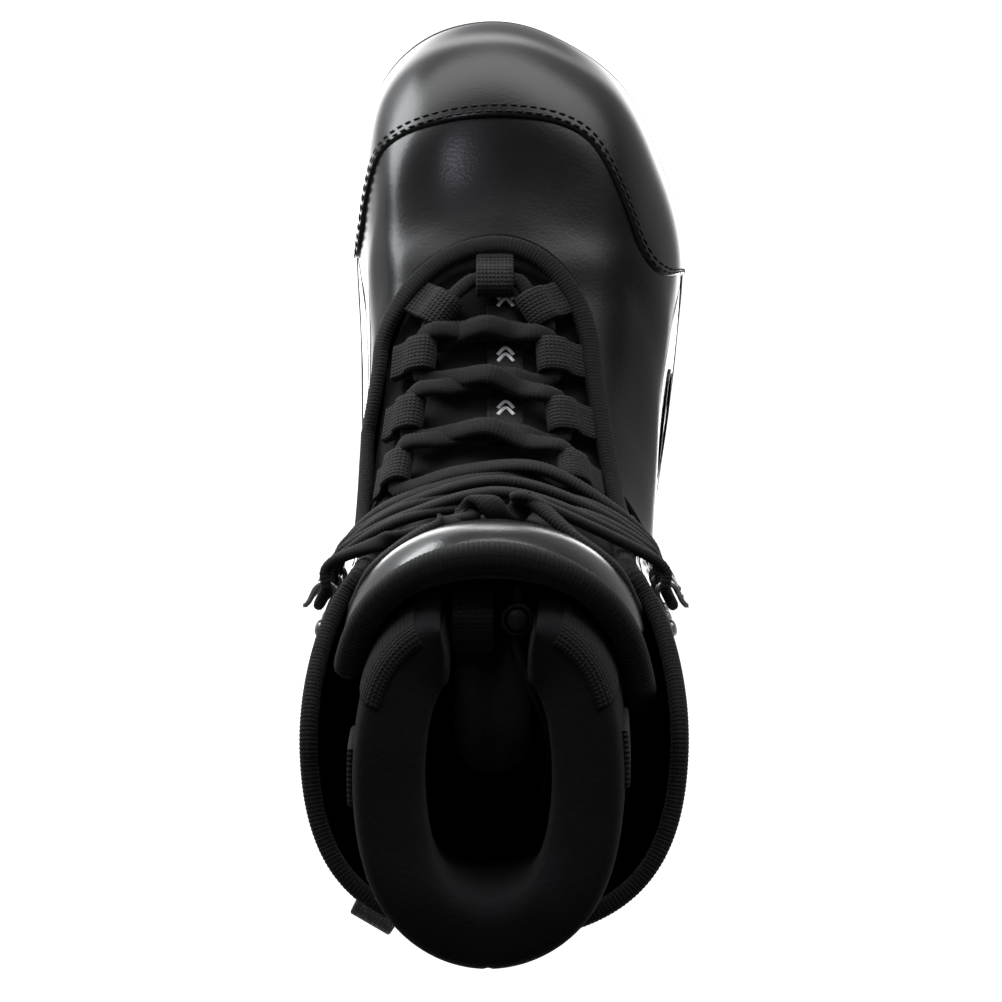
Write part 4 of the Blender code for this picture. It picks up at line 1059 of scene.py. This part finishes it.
def rim_height(turn):
    """Height of the cuff's rim. It drops towards the two front corners."""
    from_front = np.degrees(np.minimum(turn % math.tau, -turn % math.tau))
    height = between(RIM_FRONT, RIM_SIDE, smooth((from_front - 46) / 50))
    return height + 6 * smooth((from_front - 90) / 70)


def rim_rise(turn):
    turn = np.asarray(turn, float)
    return rise_where(SHELL, turn, lambda p: p[..., 2] < rim_height(turn), 0, len(SHELL) - 1)


def upright_stitches(name, turn, count, lift):
    """A row of stitches up the cuff at one turn."""
    rises = np.linspace(float(cuff_bottom(SHELL, turn)) + 0.1, float(rim_rise(turn)) - 0.1, count)
    edge_stitches(name, SHELL, np.full(count, turn), rises, lift, "cuff")


def make_cuff():
    back = BACKSTAY_TURN
    soft = worn(0.6, 44, 51, -0.1)
    for word, first, last, front in (
        ("lateral", FLAP_TURN, back + 0.05, FLAP_TURN + 0.05),
        ("medial", math.tau - back - 0.05, math.tau - FLAP_TURN, math.tau - FLAP_TURN - 0.05),
    ):
        turns = np.linspace(first, last, 131)
        lows, highs = cuff_bottom(SHELL, turns), rim_rise(turns)
        add_leather(f"cuff_leather_{word}", "cuff", (f"cuff_{word}",), turns, lows, highs, 70, soft, LEATHER)
        edge_stitches(f"cuff_stitches_low_{word}", SHELL, turns[3:-3], lows[3:-3] + 0.07, 0.2, "cuff")
        edge_stitches(f"cuff_stitches_rim_{word}", SHELL, turns[3:-3], highs[3:-3] - 0.08, 0.2, "cuff")
        upright_stitches(f"cuff_stitches_front_{word}", front, 60, 0.2)
    turns = np.linspace(back, math.tau - back, 61)
    lows, highs = cuff_bottom(SHELL, turns), rim_rise(turns)
    face = worn(0.2, 40, 61, 0.9)
    add_leather("backstay_leather", "cuff", ("backstay",), turns, lows, highs, 60, face, 1.6)
    for word, turn in (("lateral", back + 0.045), ("medial", math.tau - back - 0.045)):
        upright_stitches(f"backstay_stitches_{word}", turn, 80, 1.1)

    bottom, top = float(cuff_bottom(SHELL, FLAP_TURN)) + 0.04, float(rim_rise(FLAP_TURN))
    up_front = np.linspace(bottom, top, 30)[:-1]
    round_rim = np.linspace(FLAP_TURN + 0.02, math.tau - FLAP_TURN - 0.02, 201)
    turns = np.concatenate([np.full(29, FLAP_TURN), round_rim, np.full(29, math.tau - FLAP_TURN)])
    rises = np.concatenate([up_front, rim_rise(round_rim), up_front[::-1]])
    size = BINDING_WIDTH, BINDING_THICKNESS + 0.6
    add_roll("cuff_roll", SHELL, turns, rises, 1.8, *size, "cuff_binding", "cuff")


def hook_frame(side, height):
    """Point on the cuff under a hook's bend, with the directions towards the throat, up and outwards."""
    spot = side * HOOK_TURN, float(rise_at_height(SHELL, side * HOOK_TURN, height))
    out = outward(SHELL, *spot)
    up = unit(np.array([0, 0, 1.0]) - out * out[2])
    return place_on(SHELL, *spot), np.cross(up, out) * side, up, out, spot


def make_hooks():
    for side, word in ((-1, "medial"), (1, "lateral")):
        for number, height in enumerate(HOOK_HEIGHTS, start=1):
            here, inwards, up, out, (turn, rise) = hook_frame(side, height)
            base = []
            for back in (15.5, RIVET_BACK, 7.5, 3.5):
                spot = locate(SHELL, here - inwards * back, turn + side * back / 55, rise)
                point = proud(SHELL, *spot, 1.3) - here
                base.append((point @ inwards, point @ out))
                if back == RIVET_BACK:
                    rivet_at, rivet_axis = place_on(SHELL, *spot), outward(SHELL, *spot)
            outline = strip_outline(base + list(HOOK_BEND), 1.6, 0.4)
            name = f"speed_hook_{word}_{number}"
            hook = add_band(name, here, up, (inwards, out), outline, 3.1, STEEL_FINISH)
            settle(hook, "cuff", f"lace_hook_{word}_{number}")
            name = f"rivet_head_{word}_{number}"
            head = add_spun(name, RIVET_DOME, rivet_at, rivet_axis, STEEL_FINISH)
            settle(head, "cuff", f"hook_rivet_{word}_{number}")


def make_pull_loop():
    turn = PULL_LOOP_TURN
    rise = float(rise_at_height(SHELL, turn, PULL_LOOP_TOP))
    here, out = place_on(SHELL, turn, rise), outward(SHELL, turn, rise)
    up = unit(np.array([0, 0, 1.0]) - out * out[2])
    outline = strip_outline(np.array(PULL_LOOP_BEND) * (0.78, 1), 1.4)
    across, half = np.cross(up, out), PULL_LOOP_HALF_WIDTH
    loop = add_band("pull_loop", here, across, (out, up), outline, half, WEBBING_FINISH)
    settle(loop, "heel_pull_loop", "heel_pull_loop")


# ---------------------------------------------------------------- lace


def over_tongue(turn, rise, height):
    return proud(TONGUE, turn, rise, height), outward(TONGUE, turn, rise)


def crossing(start, end, raised, lift):
    """One strand over the tongue between two points, low or high where it meets the other strand."""
    first = locate(TONGUE, start, math.copysign(0.7, start[0]), 6)
    last = locate(TONGUE, end, math.copysign(0.7, end[0]), 6)
    made = []
    middle = STRAND_HEIGHT_OVER if raised else STRAND_HEIGHT_UNDER
    for share, height in ((0.22, lift[0]), (0.5, middle), (0.78, lift[1])):
        point, out = over_tongue(between(first[0], last[0], share), between(first[1], last[1], share), height)
        made.append((point, out, 1.5))
    return made


def through_loop(side, y):
    """The lace comes in ahead of a loop, runs straight through it and turns back over the tongue."""
    here, inwards, along, out = throat_frame(side, y)
    middle = here + inwards * LACE_IN_LOOP[0] + out * LACE_IN_LOOP[1]
    bend = (
        (6, 8.0, 0.9, 1.3), (0.8, 7.4, 0.5, 1), (0, 4, 0, 1),
        (0, -4, 0, 1), (0.8, -7.6, -0.2, 1), (6, -9.2, -2, 1.3),
    )
    return [(middle + inwards * a + along * b + out * lift, out, wide) for a, b, lift, wide in bend]


def round_hook(side, height):
    """The lace goes out below a hook, behind its bend and back above it."""
    here, inwards, up, out, _ = hook_frame(side, height)
    bend = ((10, -7.4, 0.8), (0, -6.3, 0), (-4.6, 0, 0), (0, 6.3, 0), (10, 7.4, 0.8))
    return [(here + inwards * a + up * b + out * (LACE_AT_HOOK + lift), out, 1.0) for a, b, lift in bend]


def half_of_lace(side):
    """One end of the lace, from the centre loop to the knot."""
    here, inwards, along, out = centre_frame()
    middle = here + inwards * LACE_IN_LOOP[0] + out * LACE_IN_LOOP[1]
    path = [(middle + along * side * reach, out, 1.0) for reach in (3, LOOP_WIDTH / 2 + 3)]
    for number, y in enumerate(LOOP_Y):
        stretch = through_loop(side, y)
        if number:
            path += crossing(path[-1][0], stretch[0][0], side > 0, (4.8, 4.8)) + stretch
        else:
            path += stretch[2:]
        side = -side
    for number, height in enumerate(HOOK_HEIGHTS):
        stretch = round_hook(side, height)
        path += crossing(path[-1][0], stretch[0][0], side > 0, (7.5 if number else 4.8, 7.5))
        path += stretch
        side = -side
    return path, -side


def knot(side):
    """One strand of the half knot: one and a half turns round the other strand."""
    made = []
    middle, out = over_tongue(0.0, KNOT_RISE, KNOT_HEIGHT)
    across = np.array([1.0, 0, 0])
    up = np.cross(out, across)
    for step in range(13):
        share = step / 12
        angle = math.tau * 1.5 * share * -side + (0 if side > 0 else math.pi) + math.pi / 2
        radial = out * math.sin(angle) + up * math.cos(angle)
        made.append((middle + across * side * between(11, -11, share) + radial * KNOT_RADIUS, radial, 1.45))
    return made


def tucked_end(side):
    """From the knot over the tongue and down between the tongue and the flap."""
    path = (22, 8.0, 5.3), (38, 8.1, 5.0), (50, 8.0, 3.4), (56, 7.7, 2.5), (58, 7.4, 2.5)
    return [(*over_tongue(side * math.radians(degrees), rise, height), 1.4) for degrees, rise, height in path]


def make_lace():
    ends = []
    for side in (1, -1):
        path, reached = half_of_lace(side)
        ends.append(path + knot(reached) + tucked_end(-reached))
    whole = ends[0][::-1] + ends[1]
    points, ups, wide = (np.array([step[i] for step in whole]) for i in range(3))
    line, length, up, widths = resample(points, 0.33, ups, wide)
    ribs = 1 + 0.045 * np.cos(length * math.tau / 1.3)
    outline = oval_outline(*LACE_SIZE, 12, 0.8)
    lace = add_sweep("lacing", line, up, outline, LACE_FINISH, ribs, widths[:, 0])
    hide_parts("lace")
    across_ankle(lace)
    sleeve = ((0, 0.2), (1.5, 0.3), (1.75, 0.8))
    sleeve += ((1.75, TIP_LENGTH - 1), (1.4, TIP_LENGTH - 0.2), (0, TIP_LENGTH))
    for here, before in ((line[0], line[4]), (line[-1], line[-5])):
        word = "lateral" if here[0] > 0 else "medial"
        along = unit(here - before)
        tip = add_spun(f"lace_sleeve_{word}", sleeve, here, along, PLASTIC_FINISH, 20)
        settle(tip, "cuff", f"lace_tip_{word}")


# ---------------------------------------------------------------- liner


def shaft_foam(rise):
    return 5 + 13 * smooth((rise - 6) / 3.5)


def make_liner():
    profile = [(rise, 0.0) for rise in (5.6, 6.4, 7.2, 8.0, 8.8, 9.3)]
    profile += [(9.65, 0.4), (9.86, 1.9), (9.97, 4.8), (10.0, 9.5), (9.98, 14.5), (9.88, 18.2), (9.65, 20.6)]
    profile += [(rise, float(shaft_foam(rise)) + rise - 6) for rise in (9.2, 8.6, 8.0, 7.4, 6.8, 6.2)]
    profile += [(5.6, 5)]
    outline = resample(profile, 0.05)[0]
    front = LINER_SLOT - math.radians(6)
    turns = np.linspace(front, math.tau - front, 201)
    turn = np.repeat(turns[:, None], len(outline), axis=1)
    rise = np.repeat(outline[None, :, 0], len(turns), axis=0)
    depth = np.repeat(outline[None, :, 1], len(turns), axis=0)
    from_end = np.minimum(turn - turns[0], turns[-1] - turn) / math.radians(13)
    depth = between(3.0, depth, 0.12 + 0.88 * rounded_off(from_end))
    seam = np.exp(-((turn - math.pi) / 0.012) ** 2)
    base = place_on(LINER, turn, rise)
    leaning = 3.6 * np.exp(-((turn - math.pi) / 0.6) ** 2) * smooth((rise - 7.5) / 2)
    depth = depth + 0.4 * seam - 0.5 * ripple(base, 40, 71) - leaning
    rings = base - outward(LINER, turn, rise) * depth[..., None]
    collar = add_stack("liner_collar", rings, LINER_FINISH)
    settle(collar, "cuff", "liner_shaft")

    turns = np.linspace(0, math.tau, 161)[:-1]
    soft = worn(0.4, 50, 81, -0.3)
    sock = add_panel("liner_sock", LINER, turns, 0.05, 5.75, 60, soft, 4.0, LINER_FINISH, 1.0, True)
    settle(sock, "lower", "liner_foot")
    bed = [sole_ring(height, inset) for height, inset in ((33.4, 17), (34, 15.6), (36.5, 15.4), (37.2, 16.6))]
    bed = np.array(bed) * (0.9, 1, 1)
    insole = add_stack("insole", bed, FOAM_FINISH)
    settle(insole, "lower", "footbed")

    # Coarse knit over the outer shoulder of the rim.
    over = [(8.4, -0.7), (9.3, -0.7), (9.65, -0.2), (9.87, 1.4), (9.98, 3.6), (10.01, 5.4)]
    under = [(9.9, 5.6), (9.8, 4.0), (9.6, 2.2), (9.2, 1.2), (8.8, 0.8), (8.4, 0.6)]
    strip = np.array(over + under)
    for word, first, last in (("lateral", 27, 62), ("medial", 298, 333)):
        turn, rise = np.meshgrid(np.radians(np.linspace(first, last, 81)), strip[:, 0], indexing="ij")
        rings = place_on(LINER, turn, rise) - outward(LINER, turn, rise) * strip[None, :, 1, None]
        trim = add_stack(f"liner_trim_{word}", rings, KNIT_FINISH)
        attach(trim, "cuff")
    for word, middle in (("medial", math.radians(270)), ("lateral", math.radians(84))):
        turns = np.linspace(middle - math.radians(9.5), middle + math.radians(9.5), 31)
        tab = add_panel(
            f"rim_tab_{word}", LINER, turns, 8.75, 9.55, 25, 1.5, 1.4, WEBBING_FINISH, 0.5
        )
        settle(tab, "cuff", f"liner_tab_{word}")


def side_view_line(points, x, pitch):
    """A smooth line through (y, z) points in a plane of constant x, and its outward directions."""
    line = resample([(x, y, z) for y, z in points], pitch)[0]
    return line, -np.cross(directions(line), np.array([1.0, 0, 0]))


def make_liner_tongue():
    line, ups = side_view_line(LINER_TONGUE_LINE, -1.0, 0.8)
    angle = math.tau * (np.arange(56) + 0.5) / 56
    across, up = np.cos(angle), np.sin(angle)
    groove = 1 - 0.7 * np.exp(-((across + 0.08) / 0.2) ** 2)
    outline = np.stack([signed_power(across, 0.8) * 11.2, signed_power(up, 0.7) * 5.4 * groove], -1)
    place = np.linspace(0, 1, len(line))
    taper = rounded_off(np.minimum(place * 12, (1 - place) * 9), 0.02) * (1 + 0.02 * ripple(line, 15, 3))
    lobes = add_sweep("liner_tongue_pad", line, ups, outline, PAD_FINISH, taper)
    settle(lobes, "liner_tongue", "liner_tongue")
    line, ups = side_view_line([(-40.5, 253), (-42, 264), (-48, 271), (-54.5, 269), (-58, 264.5)], -7.0, 0.6)
    strap = add_sweep("tongue_strap", line, ups, oval_outline(12, 1.4, 20, 0.5), WEBBING_FINISH)
    settle(strap, "liner_tongue", "liner_tongue_strap")


def make_cord_lock():
    x, y, z = CORD_LOCK
    centre, up = np.array(CORD_LOCK), (0, 0, 1.0)
    shell = ((0, -6), (4.2, -6), (4.8, -5.6), (5.0, -4.8), (5.0, 4.6), (4.8, 5.5))
    shell += ((4.2, 6), (3.6, 6), (3.5, 5.6), (3.5, -2), (0, -2))
    barrel = add_spun("lock_barrel", shell, centre, up, PLASTIC_FINISH)
    settle(barrel, "cord_lock", "cord_lock_barrel")
    knob = ((0, 0.4), (3.2, 0.4), (3.2, 7.8), (3.05, 8.5), (2.5, 8.95), (0, 9.1))
    button = add_spun("lock_button", knob, centre, up, PLASTIC_FINISH)
    settle(button, "cord_lock_button", "cord_lock_button")
    wire = np.linspace(0, 3 * math.tau, 90)
    coil = np.stack([x + 2.3 * np.cos(wire), y + 2.3 * np.sin(wire), z - 2.4 + 2.0 * wire / wire[-1]], -1)
    spring = add_sweep("lock_spring", coil, up, oval_outline(0.5, 0.5, 8, 1.0), STEEL_FINISH)
    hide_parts("cord_lock_spring")
    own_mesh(spring)
    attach(spring, "cord_lock")
    straight = [(x, y + reach, z + CORD_RAISE) for reach in (10, 1, -9)]
    line, length = resample(straight + list(CORD_ROUTE), 0.35)
    twist = 1 + 0.05 * np.cos(length * math.tau / 1.1)
    outline = oval_outline(2.2, 2.2, 12, 1.0)
    cord = add_sweep("draw_cord", line, (1.0, 0, 0), outline, LACE_FINISH, twist)
    settle(cord, "cuff", "liner_cord")


# ---------------------------------------------------------------- studio


def dress_hidden_nodes():
    """The stiffeners and the board keep their CAD shapes and get their own finishes."""
    dress = {"toe_puff": PLASTIC_FINISH, "heel_counter": PLASTIC_FINISH, "lasting_board": BOARD_FINISH}
    for node, finish in dress.items():
        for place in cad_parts[node].material_slots:
            place.material = finish


def white_behind(tree, glow):
    """The surroundings are seen as plain white, whatever light they give to the boot."""
    seen = add_node(tree, "ShaderNodeLightPath").outputs["Is Camera Ray"]
    return add_node(tree, "ShaderNodeMapRange", Value=seen, To_Min=glow).outputs["Result"]


def fade(tree, value, start, end):
    """A soft step from 0 to 1 as a value goes from start to end."""
    return add_node(
        tree, "ShaderNodeMapRange", interpolation_type="SMOOTHSTEP", Value=value, From_Min=start, From_Max=end
    ).outputs["Result"]


def glow_strength(tree, first, second, most):
    """Light from the room's own glow up to the most where both shares are full, and white to the camera."""
    both = combine(tree, "MULTIPLY", first, second)
    glow = add_node(tree, "ShaderNodeMapRange", Value=both, To_Min=ROOM_GLOW, To_Max=most)
    return white_behind(tree, glow.outputs["Result"])


def make_floor():
    paper = bpy.data.materials.new("floor_paper")
    paper.use_nodes = True
    corners = [(-3000, -3000, 0), (3000, -3000, 0), (3000, 3000, 0), (-3000, 3000, 0)]
    floor = add_mesh("floor", corners, [(0, 1, 2, 3)], paper)
    tree = paper.node_tree
    shader = tree.nodes["Principled BSDF"]
    shader.inputs["Base Color"].default_value = (0.8, 0.8, 0.8, 1)
    shader.inputs["Emission Color"].default_value = (1, 1, 1, 1)
    place = add_node(tree, "ShaderNodeTexCoord").outputs["Object"]
    spread = add_node(tree, "ShaderNodeMapping", Vector=place, Scale=(1 / LIT_WIDTH, 1 / LIT_LENGTH, 1))
    away = add_node(tree, "ShaderNodeVectorMath", operation="LENGTH", Vector=spread.outputs["Vector"])
    shaded = add_node(tree, "ShaderNodeVectorMath", operation="DISTANCE", Vector=place)
    shaded.inputs[1].default_value = TOE_SHADE
    near = fade(tree, away.outputs["Value"], 1.35, 0.8)
    clear = fade(tree, shaded.outputs["Value"], 0.03, TOE_SHADE_REACH)
    tree.links.new(glow_strength(tree, near, clear, FLOOR_GLOW), shader.inputs["Emission Strength"])


def make_surroundings():
    world = bpy.data.worlds.new("studio")
    bpy.context.scene.world = world
    world.use_nodes = True
    tree = world.node_tree
    background = tree.nodes["Background"]
    background.inputs["Color"].default_value = (1, 1, 1, 1)
    place = add_node(tree, "ShaderNodeTexCoord").outputs["Generated"]
    split = add_node(tree, "ShaderNodeSeparateXYZ", Vector=place).outputs
    ahead, low = fade(tree, split["Y"], 0.6, 0.9), fade(tree, split["Z"], 0.62, 0.3)
    tree.links.new(glow_strength(tree, ahead, low, FRONT_GLOW), background.inputs["Strength"])


def make_lamps_and_camera():
    scene = bpy.context.scene
    for name, (spot, size, power, colour) in LAMPS.items():
        data = bpy.data.lights.new(name, "AREA")
        data.size, data.energy, data.color = size, power, colour
        lamp = bpy.data.objects.new(name, data)
        lamp.location = spot
        lamp.visible_camera = False
        lamp.rotation_euler = (Vector((0, 0, 0.1)) - Vector(spot)).to_track_quat("-Z", "Y").to_euler()
        scene.collection.objects.link(lamp)
    data = bpy.data.cameras.new("camera")
    data.lens, data.sensor_width, data.clip_end = CAMERA_LENS, 36.0, 20.0
    camera = bpy.data.objects.new("camera", data)
    camera.location = CAMERA_PLACE
    scene.collection.objects.link(camera)
    scene.camera = camera
    scene.view_settings.view_transform = "Standard"


make_midsole()
make_outsole()
make_upper()
make_toe_cap()
make_heel()
make_side_oval()
make_ankle_leather()
make_throat_roll()
make_lace_loops()
make_tongue()
make_label()
make_cuff()
make_hooks()
make_pull_loop()
make_lace()
make_liner()
make_liner_tongue()
make_cord_lock()
dress_hidden_nodes()
make_floor()
make_surroundings()
make_lamps_and_camera()
